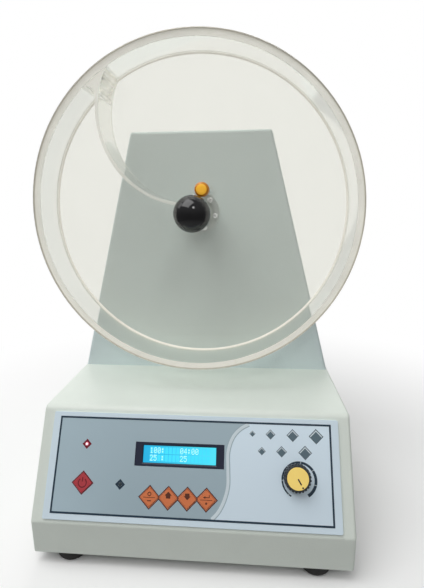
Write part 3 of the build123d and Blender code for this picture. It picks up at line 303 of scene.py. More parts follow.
class Surface:
    """A node tree under construction: a material's or the world's."""

    def __init__(self, owner):
        owner.use_nodes = True
        self.owner = owner
        self.tree = owner.node_tree
        self.tree.nodes.clear()

    def node(self, kind, settings=None, sockets=None, output=0):
        """Adds a node, sets it up, and returns one of its outputs."""
        made = self.tree.nodes.new(kind)
        for name, value in (settings or {}).items():
            setattr(made, name, value)
        for name, value in (sockets or {}).items():
            if isinstance(value, Wire):
                self.tree.links.new(value.socket, made.inputs[name])
            else:
                made.inputs[name].default_value = value
        return Wire(self, made.outputs[output]) if len(made.outputs) else None

    def place(self):
        """A point's place in the object's frame, in metres."""
        return self.node("ShaderNodeTexCoord", output="Object")

    def part(self, vector, name):
        """One coordinate of a vector."""
        return self.node("ShaderNodeSeparateXYZ", {}, {"Vector": vector}, output=name)

    def axis(self, name):
        """One coordinate of a point's place."""
        return self.part(self.place(), name)

    def measure(self, operation, vector):
        """A number from a point's place and a fixed vector."""
        return self.node(
            "ShaderNodeVectorMath", {"operation": operation}, {0: self.place(), 1: vector}, output="Value"
        )

    def stretched(self, factors):
        """A point's place with each axis scaled."""
        return self.node("ShaderNodeVectorMath", {"operation": "MULTIPLY"}, {0: self.place(), 1: factors})

    def noise(self, scale, detail=2, roughness=0.5, place=None):
        """Soft noise from 0 to 1, with scale features in a metre."""
        sockets = {"Vector": place or self.place(), "Scale": scale, "Detail": detail, "Roughness": roughness}
        return self.node("ShaderNodeTexNoise", {}, sockets)

    def streaks(self, stretch, detail=2, roughness=0.5):
        """Soft noise with so many features in a metre along each axis."""
        return self.noise(1, detail, roughness, self.stretched(stretch))

    def ray(self, kind):
        """1 for rays of one kind."""
        return self.node("ShaderNodeLightPath", output=f"Is {kind} Ray")

    def seen(self):
        """1 for rays from the camera and for those seen through glass."""
        return self.ray("Camera").most(self.ray("Transmission"))

    def mix(self, factor, first, second):
        """Two colours, mixed."""
        sockets = {0: factor, 6: opaque(first), 7: opaque(second)}
        return self.node("ShaderNodeMix", {"data_type": "RGBA"}, sockets, output=2)

    def mottled(self, scale, shade, low, high, detail=2):
        """A colour that drifts softly between two shares of itself."""
        return self.mix(self.noise(scale, detail), darker(shade, low), darker(shade, high))

    def bump(self, height, depth, strength=1.0):
        """A normal from a height of 0 to 1 that stands for a depth."""
        return self.node("ShaderNodeBump", {}, {"Strength": strength, "Distance": depth, "Height": height})

    def principled(self, **values):
        """A Principled shader; a name's underscores stand for spaces."""
        sockets = {name.replace("_", " "): value for name, value in values.items()}
        return self.node("ShaderNodeBsdfPrincipled", {}, sockets)

    def blend(self, factor, first, second):
        """Two shaders, mixed."""
        return self.node("ShaderNodeMixShader", {}, {0: factor, 1: first, 2: second})

    def close(self, shader, kind="ShaderNodeOutputMaterial"):
        """Ends the tree and returns its owner."""
        self.node(kind, {}, {"Surface": shader})
        return self.owner

    def finish(self, **values):
        """Ends the tree with a Principled shader and returns its owner."""
        return self.close(self.principled(**values))


def opaque(colour):
    """A colour with its alpha, or a wire as it is."""
    return colour if isinstance(colour, Wire) else (*colour, 1.0)


def darker(colour, factor):
    """A colour times a factor, kept in range."""
    return tuple(min(1.0, part * factor) for part in colour)


def new_surface(name):
    """A fresh material's tree."""
    return Surface(bpy.data.materials.new(name))


# Finishes


@cache
def powder_coat(name, shade):
    """Baked powder paint: a fine orange peel, faint mottling and a soft sheen."""
    coat = new_surface(name)
    peel = coat.noise(620, roughness=0.6) + 0.5 * coat.noise(1500, detail=1)
    return coat.finish(
        Base_Color=coat.mottled(28, shade, 0.95, 1.04, detail=3),
        Roughness=0.36 + 0.16 * coat.noise(90, detail=3),
        Normal=coat.bump(peel, 0.22 * MM, strength=0.8),
    )


def console_paint():
    return powder_coat("console_powder_coat", shade_of("cover"))


# The column's coat is tinted bluer than the console's: painted bluish shade on its upright faces.
def column_paint():
    return powder_coat("column_powder_coat", shade_of("column"))


def motor_enamel():
    return powder_coat("motor_enamel", (0.06, 0.062, 0.068))


def satin_print(film, colour, smooth, worn):
    """Ends a printed film's tree: satin, with faint wipe marks and a fine grain."""
    wipe = film.streaks((40, 420, 420))
    return film.finish(
        Base_Color=colour,
        Roughness=smooth + (worn - smooth) * wipe,
        Normal=film.bump(film.noise(900), 0.03 * MM, strength=0.4),
    )


@cache
def print_ink(name, shade):
    """Screen-printed ink on a satin film, a little uneven."""
    film = new_surface(name)
    return satin_print(film, film.mottled(60, shade, 0.96, 1.04, detail=3), 0.30, 0.44)


def ink(name):
    """The print's ink of one of the tones."""
    return print_ink(f"ink_{name}", shade_of(name))


# Where a printed field starts and ends to pale by height, and where a painted sheen lightens its left end, in
# metres
FIELD_PALES_UP = (0.045, 0.125)
FIELD_SHEEN_LEFT = (-0.125, -0.04)


@cache
def field_ink(name, lift, left_sheen):
    """The ink of a large printed field, which pales a little towards its top, with a painted sheen that
    lightens its left end.
    """
    shade = shade_of(name)
    field = new_surface(f"ink_{name}")
    height = field.axis("Z").between(*FIELD_PALES_UP)
    # Painted sheen: the field is lighter towards its left end.
    side = 1 - field.axis("X").between(*FIELD_SHEEN_LEFT)
    upright = field.mix(height, darker(shade, 0.97), darker(shade, 1 + lift))
    pale = field.mix(side, upright, darker(shade, 1 + left_sheen))
    cloud = 0.5 * field.noise(9, detail=1)
    return satin_print(field, field.mix(cloud, pale, darker(shade, 1.02)), 0.28, 0.44)


@cache
def moulded(name, shade, grain=0.04, roughness=0.42):
    """Moulded plastic with a spark grain of a depth in millimetres and a slightly varied sheen."""
    plastic = new_surface(name)
    return plastic.finish(
        Base_Color=plastic.mottled(150, shade, 0.93, 1.06),
        Roughness=roughness + 0.12 * plastic.noise(500, detail=3),
        Normal=plastic.bump(plastic.noise(2600, detail=1), grain * MM, strength=0.5),
    )


def black_plastic():
    return moulded("black_moulding", (0.022, 0.022, 0.025))


def bezel_black():
    """Dark blue-black satin moulding of the display's frame."""
    return moulded("display_bezel", (0.014, 0.018, 0.042), grain=0.02, roughness=0.3)


def dark_lens():
    """The unlit lamp's smoked lens."""
    return moulded("dark_lens", (0.03, 0.045, 0.055), grain=0.01, roughness=0.16)


@cache
def key_cap(name, tone_name, glow=0.0):
    """A domed key film: satin, with a faint worn shine; its glow is painted light that brightens a bright
    cap.
    """
    shade = shade_of(tone_name)
    cap = new_surface(name)
    return cap.finish(
        Base_Color=cap.mottled(90, shade, 0.92, 1.08, detail=3),
        Roughness=0.30 + 0.18 * cap.noise(220),
        Normal=cap.bump(cap.noise(1400), 0.03 * MM, strength=0.5),
        # Painted light: the glow brightens the cap, which is no lamp.
        Emission_Color=opaque(shade),
        Emission_Strength=glow,
    )


@cache
def phenolic():
    """The ball knob's polished black phenolic, with hairline scratches."""
    ball = new_surface("black_phenolic")
    hairline = ball.streaks((900, 140, 900), detail=4, roughness=0.7)
    return ball.finish(
        Base_Color=ball.mix(ball.noise(120), (0.006, 0.006, 0.007), (0.014, 0.014, 0.015)),
        Roughness=0.05 + 0.10 * hairline,
        Normal=ball.bump(hairline, 0.01 * MM, strength=0.3),
    )


@cache
def amber_plastic(name, tone_name, glow):
    """A glossy amber moulding; its glow is painted light that brightens it."""
    shade = shade_of(tone_name)
    amber = new_surface(name)
    return amber.finish(
        Base_Color=amber.mottled(260, shade, 0.85, 1.1),
        Roughness=0.18 + 0.10 * amber.noise(700),
        Normal=amber.bump(amber.noise(1100), 0.02 * MM, strength=0.4),
        # Painted light: the glow brightens the amber, which is no lamp.
        Emission_Color=opaque(shade),
        Emission_Strength=glow,
    )


@cache
def metal(name, shade, roughness, stretch=(300, 300, 300), depth=0.01):
    """A metal whose grain runs where the stretch is small, with a depth in millimetres."""
    plate = new_surface(name)
    grain = plate.streaks(stretch, detail=4, roughness=0.6)
    return plate.finish(
        Base_Color=plate.mix(grain, darker(shade, 0.86), darker(shade, 1.06)),
        Metallic=1.0,
        Roughness=roughness + 0.14 * grain,
        Normal=plate.bump(grain, depth * MM, strength=0.5),
    )


def zinc():
    return metal("zinc_plate", (0.66, 0.67, 0.68), 0.24)


def nickel():
    return metal("nickel_pin", (0.74, 0.72, 0.68), 0.2)


def turned_steel():
    return metal("turned_steel", (0.58, 0.58, 0.59), 0.22, stretch=(200, 2600, 200))


def turned_brass():
    return metal("turned_brass", (0.78, 0.58, 0.24), 0.22, stretch=(200, 2600, 200))


def plate_steel():
    return metal("plate_steel", (0.5, 0.5, 0.51), 0.36, stretch=(60, 900, 900))


def cast_aluminium():
    return metal("cast_aluminium", (0.72, 0.73, 0.74), 0.34, depth=0.03)


@cache
def anodised():
    """Blasted and clear-anodised aluminium: pale, matt and only faintly metallic."""
    face = new_surface("anodised_aluminium")
    grain = face.noise(900, detail=3)
    return face.finish(
        Base_Color=face.mix(grain, (0.66, 0.71, 0.69), (0.78, 0.83, 0.80)),
        Metallic=0.1,
        Roughness=0.5 + 0.15 * grain,
        Normal=face.bump(grain, 0.02 * MM, strength=0.5),
    )


@cache
def foot_rubber():
    """Black rubber, dusty where it is worn pale."""
    rubber = new_surface("foot_rubber")
    dust = rubber.noise(340, detail=4, roughness=0.65)
    return rubber.finish(
        Base_Color=rubber.mix(dust, (0.012, 0.011, 0.011), (0.045, 0.043, 0.041)),
        Roughness=0.62 + 0.25 * dust,
        Normal=rubber.bump(rubber.noise(1800), 0.08 * MM, strength=0.6),
    )


@cache
def circuit_board(name, normal, level):
    """A green board with paler tracks; what stands above its face is dark moulding."""
    board = new_surface(name)
    part = board.measure("DOT_PRODUCT", normal) > level
    lines = (board.axis("X") * 2400).wave() * (board.axis("Z") * 900).wave()
    tracks = lines.between(0.25, 0.4) * (board.noise(120) > 0.52)
    green = board.mix(tracks, (0.012, 0.085, 0.035), (0.05, 0.21, 0.09))
    return board.finish(
        Base_Color=board.mix(part, green, (0.03, 0.03, 0.034)),
        Roughness=0.35 + 0.1 * board.noise(400),
        Normal=board.bump(tracks, 0.03 * MM, strength=0.5),
    )


@cache
def backlight():
    """The display's glowing blue film, brighter towards its right end."""
    glow = new_surface("display_backlight")
    left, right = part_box("display_glass")
    bright = glow.axis("X").between(left.x, right.x) * 0.8 + 0.2 * glow.noise(70, detail=1)
    return glow.finish(
        Base_Color=opaque((0.01, 0.03, 0.06)),
        Roughness=0.18 + 0.1 * glow.noise(300),
        Emission_Color=glow.mix(bright, shade_of("display_dim"), shade_of("display_bright")),
        Emission_Strength=0.92,
    )


@cache
def glowing(name, shade, strength):
    """A lit film."""
    lit = new_surface(name)
    return lit.finish(
        Base_Color=opaque(darker(shade, 0.5)),
        Roughness=0.2 + 0.1 * lit.noise(900),
        Emission_Color=lit.mottled(500, shade, 0.94, 1),
        Emission_Strength=strength,
    )


@cache
def lit_lens():
    """The power lamp's lens, with a bright core in deep red."""
    lens = new_surface("lit_lens")
    _, _, (_, top) = slope_box("power_lamp")
    core = SLOPE @ Vector((*slope_centre("power_lamp"), top))
    rim = lens.measure("DISTANCE", core).between(0.6 * MM, 1.6 * MM)
    return lens.finish(
        Base_Color=lens.mix(rim, (0.9, 0.5, 0.55), (0.3, 0.02, 0.05)),
        Roughness=0.15 + 0.1 * lens.noise(900),
        Emission_Color=lens.mix(rim, (1.0, 0.72, 0.78), (0.30, 0.01, 0.04)),
        Emission_Strength=1.0,
    )


@cache
def clear_acrylic():
    """The drum's polished faces, milky and smudged a little; the lamps' light passes straight through."""
    sheet = new_surface("clear_acrylic")
    smudge = sheet.noise(14, detail=4, roughness=0.6).between(0.45, 0.8)
    tint = shade_of("acrylic")
    polished = sheet.principled(
        Base_Color=sheet.mix(sheet.streaks((90, 200, 12), detail=3), darker(tint, 0.975), tint),
        Roughness=0.015 + 0.075 * smudge,
        IOR=ACRYLIC_IOR,
        Transmission_Weight=0.95,
        Normal=sheet.bump(sheet.noise(9, detail=1), 0.1 * MM, strength=0.15),
    )
    through = sheet.ray("Shadow").most(sheet.ray("Diffuse"))
    air = sheet.node("ShaderNodeBsdfTransparent", {}, {"Color": opaque((0.965, 0.97, 0.965))})
    return sheet.close(sheet.blend(through, polished, air))


@cache
def turned_edge():
    """Turned and sawn acrylic edges: milky with fine tool lines, and clearer towards the hub. They carry a
    painted glow, and painted shade in a darker beige line round the drum's rim.
    """
    edge = new_surface("acrylic_edge")
    lines = edge.streaks((700, 4000, 700), detail=3)
    x, z = edge.axis("X"), edge.axis("Z") - AXIS_HEIGHT
    radius = (x * x + z * z).root()
    # Painted shade: near the rim the edge turns a darker beige and its glow dims.
    rim = radius.between(RIM_RADIUS - 1.8 * MM, RIM_RADIUS - 0.4 * MM)
    milky = radius.between(60 * MM, 100 * MM)
    glow = shade_of("painted_edge_glow")
    clean = edge.mix(lines, (0.80, 0.80, 0.77), (0.92, 0.92, 0.89))
    return edge.finish(
        Base_Color=edge.mix(rim * 0.75, clean, shade_of("rim_shade_line")),
        Roughness=0.34 + 0.2 * lines,
        IOR=ACRYLIC_IOR,
        # Painted glow: the edges' emission, dimmer at the rim and in soft patches.
        Emission_Color=edge.mix(rim.most(edge.noise(35) * 0.6), glow, darker(glow, 0.3)),
        Emission_Strength=0.36,
        Alpha=0.3 + 0.7 * milky,
        Normal=edge.bump(lines, 0.03 * MM, strength=0.4),
    )


@cache
def glue_bead():
    """Solvent cement, pale and glossy, with a painted glow."""
    bead = new_surface("cement_bead")
    return bead.finish(
        Base_Color=bead.mix(bead.noise(240, detail=3), (0.80, 0.76, 0.70), (0.92, 0.89, 0.85)),
        Roughness=0.12 + 0.2 * bead.noise(500),
        # Painted glow in the colour of the acrylic edges' light.
        Emission_Color=bead.mottled(60, shade_of("painted_edge_glow"), 0.8, 1),
        Emission_Strength=0.35,
    )


# Shapes


def in_mm(points):
    """Points, or rings with their forms, given in millimetres."""
    return [(first * MM, second * MM, *form) for first, second, *form in points]


def polar(radius, degrees):
    """The point at a radius and a heading."""
    heading = radians(degrees)
    return radius * cos(heading), radius * sin(heading)


def arc(radius, start, end, steps):
    """Points on an arc from one heading to another, in degrees."""
    return [polar(radius, start + (end - start) * i / steps) for i in range(steps + 1)]


def circle(radius, steps=48):
    return arc(radius, 0, 360, steps)[:-1]


def rectangle(width, height):
    x, y = width / 2, height / 2
    return [(x, y), (-x, y), (-x, -y), (x, -y)]


def diamond(half):
    """A square on its point."""
    return [(half, 0), (0, half), (-half, 0), (0, -half)]


def clipped_diamond(half, left, right):
    """A square on its point with its side tips cut off at a reach to the left and to the right."""
    tips = []
    for side, reach in ((1, right), (-1, left)):
        cut = [(side * reach, half - reach), (side * reach, reach - half)]
        tips.append(cut if reach < half else [(side * half, 0)])
    return [tips[0][0], (0, half), *tips[1], (0, -half), *tips[0][1:]]


def arrow(tip, neck, tail):
    """An upright arrow from the heights of its tip, its neck and its tail."""
    return [(0, tip), (3.1, neck), (1.9, neck), (1.9, tail), (-1.9, tail), (-1.9, neck), (-3.1, neck)]


def moved(loop, u, v):
    """An outline moved to another place."""
    return [(x + u, y + v) for x, y in loop]


def about(node, loop):
    """An outline moved to a CAD node's middle on the slope."""
    return moved(loop, *slope_centre(node))


def ribbon(points, widths):
    """The outline of a line through points whose width may change on the way."""
    left, right = [], []
    for i, (x, y) in enumerate(points):
        x0, y0 = points[max(i - 1, 0)]
        x1, y1 = points[min(i + 1, len(points) - 1)]
        run = hypot(x1 - x0, y1 - y0)
        across, up = -(y1 - y0) / run, (x1 - x0) / run
        half = widths[i] / 2
        left.append((x + across * half, y + up * half))
        right.append((x - across * half, y - up * half))
    return left + right[::-1]


def line(points, width):
    """The outline of a line of even width."""
    return ribbon(points, [width] * len(points))


def smooth_curve(knots, steps=14):
    """Points on a smooth curve through knots, each with the slope from its neighbours."""
    points = []
    for i in range(len(knots) - 1):
        before = Vector(knots[max(i - 1, 0)])
        start, end = Vector(knots[i]), Vector(knots[i + 1])
        after = Vector(knots[min(i + 2, len(knots) - 1)])
        handles = start + (end - before) / 6, end - (after - start) / 6
        span = interpolate_bezier(start, *handles, end, steps)
        points += [(point.x, point.y) for point in span[:-1]]
    return points + [knots[-1]]


def prism(shape, place, loops, base, top):
    """Adds a flat plate between two levels; its first loop is the outline and the others are holes."""
    flat = [point for loop in loops for point in loop]
    low = [shape.verts.new(place @ Vector((x, y, base))) for x, y in flat]
    high = [shape.verts.new(place @ Vector((x, y, top))) for x, y in flat]
    for a, b, c in tessellate_polygon([[Vector((x, y, 0)) for x, y in loop] for loop in loops]):
        shape.faces.new((high[a], high[b], high[c]))
        shape.faces.new((low[c], low[b], low[a]))
    start = 0
    for loop in loops:
        for i in range(len(loop)):
            a, b = start + i, start + (i + 1) % len(loop)
            shape.faces.new((low[a], low[b], high[b], high[a]))
        start += len(loop)


def round_form(heading):
    return 1.0


def hexagon_form(heading):
    """Radius of a hexagon of unit inscribed circle."""
    return 1 / cos((heading + pi / 6) % (pi / 3) - pi / 6)


def cross_form(heading):
    """Radius of a plus-shaped recess of unit reach."""
    turn = (heading + pi / 4) % (pi / 2) - pi / 4
    return min(1 / cos(turn), 0.3 / max(abs(sin(turn)), 1e-6))


def turned(shape, place, profile, steps=None, closed=False):
    """Adds rings about a place's third axis, joined in order: each is (radius, height) with an optional form.

    A closed profile comes back to its first ring, as a washer's does. Otherwise each end gets a cap.
    """
    steps = steps or sizes().round_steps
    rings = []
    for radius, height, *form in profile:
        reach = form[0] if form else round_form
        ring = []
        for i in range(steps):
            heading = 2 * pi * i / steps
            r = radius * reach(heading)
            ring.append(shape.verts.new(place @ Vector((r * cos(heading), r * sin(heading), height))))
        rings.append(ring)
    pairs = list(zip(rings, rings[1:])) + ([(rings[-1], rings[0])] if closed else [])
    for lower, upper in pairs:
        for i in range(steps):
            j = (i + 1) % steps
            shape.faces.new((lower[i], lower[j], upper[j], upper[i]))
    if not closed:
        shape.faces.new(rings[0][::-1])
        shape.faces.new(rings[-1])


# Pieces


# An edge that turns by more than this is sharp
CREASE = radians(35)


def finish_mesh(shape, name):
    """Turns a finished shape into a mesh with outward faces and smooth rounds."""
    bmesh.ops.recalc_face_normals(shape, faces=shape.faces)
    mesh = bpy.data.meshes.new(name)
    shape.to_mesh(mesh)
    shape.free()
    mesh.shade_smooth()
    mesh.set_sharp_from_angle(angle=CREASE)
    return mesh


def add_piece(name, shape, finish, body, replaces=()):
    """Puts a finished shape in the scene as a piece that rides on a body."""
    piece = bpy.data.objects.new(name, finish_mesh(shape, name))
    bpy.context.scene.collection.objects.link(piece)
    piece.data.materials.append(finish)
    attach(piece, body)
    if replaces:
        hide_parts(*replaces)
    return piece


def slope_piece(name, groups, base, top, finish, body="stand"):
    """Flat plates along the slope, between two levels over the plate's face, as one piece."""
    shape = bmesh.new()
    for loops in groups:
        prism(shape, SLOPE, loops, base, top)
    add_piece(name, shape, finish, body)


def print_piece(name, groups, layer, finish):
    """A printed film on a numbered layer of the front plate; each group is an outline and its holes."""
    film = sizes().film
    slope_piece(name, groups, layer * film, (layer + 1) * film, finish)


def paint(finish, *names):
    """Gives CAD nodes their finish."""
    for name in names:
        slots = nodes[name].data.materials
        slots.clear()
        slots.append(finish)


def joined_shape(node):
    """A CAD node's shape with its triangles joined at their corners."""
    shape = bmesh.new()
    shape.from_mesh(nodes[node].data)
    bmesh.ops.remove_doubles(shape, verts=shape.verts, dist=1e-7)
    return shape


def softened(node, name, body, finish, edge=None, sharp=None):
    """A piece of the CAD node's own shape with softened edges, which stands for it.

    An edge between two corners for which sharp is true stays as it is.
    """
    shape = joined_shape(node)
    bmesh.ops.dissolve_limit(shape, angle_limit=radians(1), verts=shape.verts, edges=shape.edges)
    weight = shape.edges.layers.float.new("bevel_weight_edge")
    for crease in shape.edges:
        kept = sharp and all(sharp(corner.co) for corner in crease.verts)
        crease[weight] = float(crease.calc_face_angle(0) > CREASE and not kept)
    piece = add_piece(name, shape, finish, body, replaces=(node,))
    bevel = piece.modifiers.new("edge", "BEVEL")
    bevel.width = edge or sizes().edge
    bevel.segments = 2
    bevel.limit_method = "WEIGHT"
    bevel.harden_normals = True
    return piece


def solids_of(node):
    """The separate solids of a CAD node, each as a list of its corners."""
    shape = joined_shape(node)
    solids, seen = [], set()
    for start in shape.verts:
        if start in seen:
            continue
        seen.add(start)
        solid = [start]
        for vertex in solid:
            for edge in vertex.link_edges:
                other = edge.other_vert(vertex)
                if other not in seen:
                    seen.add(other)
                    solid.append(other)
        solids.append([vertex.co.copy() for vertex in solid])
    shape.free()
    return solids


def replace_screws(node, name, body, radius, height, shank, recess, form=cross_form):
    """Screws with domed heads and driver recesses for a node's plain ones.

    Radius and height are the head's, shank and recess are radii, and all are in millimetres.
    A screw lies along its longest span, and its widest corner is on its head.
    """
    shape = bmesh.new()
    dome = 0.35 * height
    for solid in solids_of(node):
        low, high = (Vector([pick(values) for values in zip(*solid)]) for pick in (min, max))
        middle, spans = (low + high) / 2, high - low
        out = Vector([float(span == max(spans)) for span in spans])
        widest = max(solid, key=lambda corner: out.cross(corner - middle).length)
        if out.dot(widest - middle) < 0:
            out.negate()
        whole = max(spans)
        foot = height - whole / MM
        profile = [
            (0.7 * shank, foot),
            (shank, foot + 0.3 * shank),
            (shank, 0),
            (radius, 0),
            (radius, height - 1.6 * dome),
            (0.94 * radius, height - 0.8 * dome),
            (0.8 * radius, height - 0.2 * dome),
            (0.62 * radius, height),
            (recess, height, form),
            (0.86 * recess, 0.35 * height, form),
        ]
        seat = middle + out * (whole / 2 - height * MM)
        turned(shape, facing(seat, out), in_mm(profile), steps=48)
    add_piece(name, shape, zinc(), body, replaces=(node,))


# Stage


class TESTER_OT_stage(bpy.types.Operator):
    """Sets up the floor, the light and the camera"""

    bl_idname = "tester.stage"
    bl_label = "Stage"

    def execute(self, context):
        context.scene.view_settings.view_transform = "Standard"
        for step in (self.add_floor, self.light_room, self.add_lamps, self.add_camera):
            step(context.scene, context.scene.tester_stage)
        return {"FINISHED"}

    def add_floor(self, scene, settings):
        """A floor that keeps the tester's shadow and fades to plain white round it."""
        shape = bmesh.new()
        outline = rectangle(settings.floor_width, settings.floor_width)
        shape.faces.new([shape.verts.new((x, y, 0)) for x, y in outline])
        floor = bpy.data.objects.new("floor", finish_mesh(shape, "floor"))
        scene.collection.objects.link(floor)
        ground = new_surface("floor_white")
        x, y = ground.axis("X"), ground.axis("Y")
        fade = (x * x + y * y).root().between(settings.floor_clear, settings.floor_far)
        seen = ground.seen()
        pale = ground.principled(
            Base_Color=ground.mix(seen, (0.4, 0.4, 0.4), (0.93, 0.93, 0.925)), Roughness=0.6
        )
        far = ground.mix(seen, (settings.room_low,) * 3, (1, 1, 1))
        glow = ground.node("ShaderNodeEmission", {}, {"Color": far})
        floor.data.materials.append(ground.close(ground.blend(fade, pale, glow)))

    def light_room(self, scene, settings):
        """A dim room, brighter overhead, that glossy pieces see lit in front of them."""
        scene.world = bpy.data.worlds.new("room")
        room = Surface(scene.world)
        heading = room.node("ShaderNodeTexCoord", output="Generated")
        ahead = room.part(heading, "Y").between(0.3, 0.85)
        aloft = room.part(heading, "Z").between(-0.2, 0.7)
        dim = room.mix(aloft, (settings.room_low,) * 3, (settings.room_high,) * 3)
        lit = room.seen().most(room.ray("Glossy") * ahead)
        backdrop = room.node("ShaderNodeBackground", {}, {"Color": room.mix(lit, dim, (1, 1, 1))})
        room.close(backdrop, "ShaderNodeOutputWorld")

    def add_lamps(self, scene, settings):
        """Square lamps: each has its place, its width and its power, and all look at one point."""
        target = Vector((0, 0, 0.25))
        lamps = (
            ("key_light", (-0.5, -0.52, 1.75), 1.4, settings.key_power),
            ("window_light", (-1.4, 0.1, 1.3), 0.7, settings.window_power),
            ("front_light", (0.4, -1.2, 1.3), 0.3, settings.front_power),
            ("back_light", (-0.2, 1.45, 1.2), 1.0, settings.back_power),
        )
        for name, place, width, power in lamps:
            data = bpy.data.lights.new(name, "AREA")
            data.shape = "SQUARE"
            data.size = width
            data.energy = power
            lamp = bpy.data.objects.new(name, data)
            lamp.visible_transmission = False
            lamp.location = place
            lamp.rotation_euler = (target - Vector(place)).to_track_quat("-Z", "Y").to_euler()
            scene.collection.objects.link(lamp)

    def add_camera(self, scene, settings):
        data = bpy.data.cameras.new("camera")
        data.sensor_width = 36.0
        data.lens = settings.focal_length / settings.image_height * data.sensor_width
        data.clip_start = 0.01
        camera = bpy.data.objects.new("camera", data)
        yaw, pitch = settings.camera_yaw, settings.camera_pitch
        forward = Vector((sin(yaw) * cos(pitch), cos(yaw) * cos(pitch), -sin(pitch)))
        right = Vector((cos(yaw), -sin(yaw), 0))
        turn = Matrix((right, right.cross(forward), -forward)).transposed().to_4x4()
        roll = Matrix.Rotation(-settings.camera_roll, 4, "Z")
        camera.matrix_world = Matrix.Translation(settings.camera_place) @ turn @ roll
        scene.collection.objects.link(camera)
        scene.camera = camera


# Console and column


class TESTER_OT_console(bpy.types.Operator):
    """Paints the console's sheet metal and its feet, and adds its screws"""

    bl_idname = "tester.console"
    bl_label = "Console"

    def execute(self, context):
        paint(console_paint(), "base_cover", "base_tray", "base_back_panel")
        feet = [node for node in nodes if node.startswith("foot_") and node != "foot_screws"]
        paint(foot_rubber(), *feet)
        replace_screws("cover_screws", "cheek_screws", "stand", radius=4, height=1.8, shank=2, recess=2.1)
        replace_screws("foot_screws", "foot_fixings", "stand", radius=4.2, height=2.4, shank=2, recess=2.2)
        return {"FINISHED"}


class TESTER_OT_column(bpy.types.Operator):
    """Paints the column and adds the screws of the back panels"""

    bl_idname = "tester.column"
    bl_label = "Column"

    def execute(self, context):
        paint(column_paint(), "column_cover", "column_back_panel")
        replace_screws("panel_screws", "panel_fixings", "stand", radius=3, height=1.4, shank=1.5, recess=1.6)
        return {"FINISHED"}


# Front plate


# Openings in the prints, in millimetres: room round a key, and radii
KEY_ROOM = 0.55
LAMP_HOLE = 1.7
DIAL_HOLE = 6.8

# Diamonds round the keys and the lamps: half widths in millimetres, and half the line between two keys
KEY_MARGIN = 8.7
KEY_OUTLINE = 9.8
POWER_OUTLINE = 9.9
LAMP_DIAMONDS = (
    ("ready_lamp", "ready_diamond", 4.4, "border"),
    ("power_lamp", "lamp_diamond", 4.3, "lamp_frame"),
)
HALF_LINE = 0.4

# The curve between the fields, in millimetres: u, and v from the frame's foot; it ends at the frame's head
DIVIDER_KNOTS = ((18.4, 0), (24.6, 6.2), (29.6, 15.5), (32.6, 27), (32.5, 40), (32.3, 54), (36, 66), (43, 74))
DIVIDER_END = 52.5

# The slate diamonds, in millimetres: u, v and half width
SLATE_DIAMONDS = (
    (53.5, 75.9, 2.6), (69.2, 75.7, 4.2), (88.3, 75.5, 5.3), (108.3, 75.3, 6.3),
    (61.6, 61.8, 3.4), (78.6, 61.9, 4.6), (98.6, 61.7, 5.8),
)

# Their prints: name, share of the half width, share of it by which they sit lower, layer and tone
DIAMOND_LAYERS = (
    ("rims", 1, 0, 1, "slate"),
    ("glints", 0.84, 0, 2, "glint"),
    ("hearts", 0.78, 0.14, 3, "heart"),
)

# The speed scale's headings, in degrees
SCALE_START = 241
SCALE_END = -59
SCALE_STEPS = 96
TICKS = range(231, -63, -49)


def key_hole(node):
    """The diamond outline of a key's opening in the plate."""
    left, right = slope_box(node)[0]
    return about(node, diamond((right - left) / 2 + KEY_ROOM * MM))


def lamp_hole(node):
    """The round outline of a lamp's opening in the plate."""
    return about(node, circle(LAMP_HOLE * MM, 24))


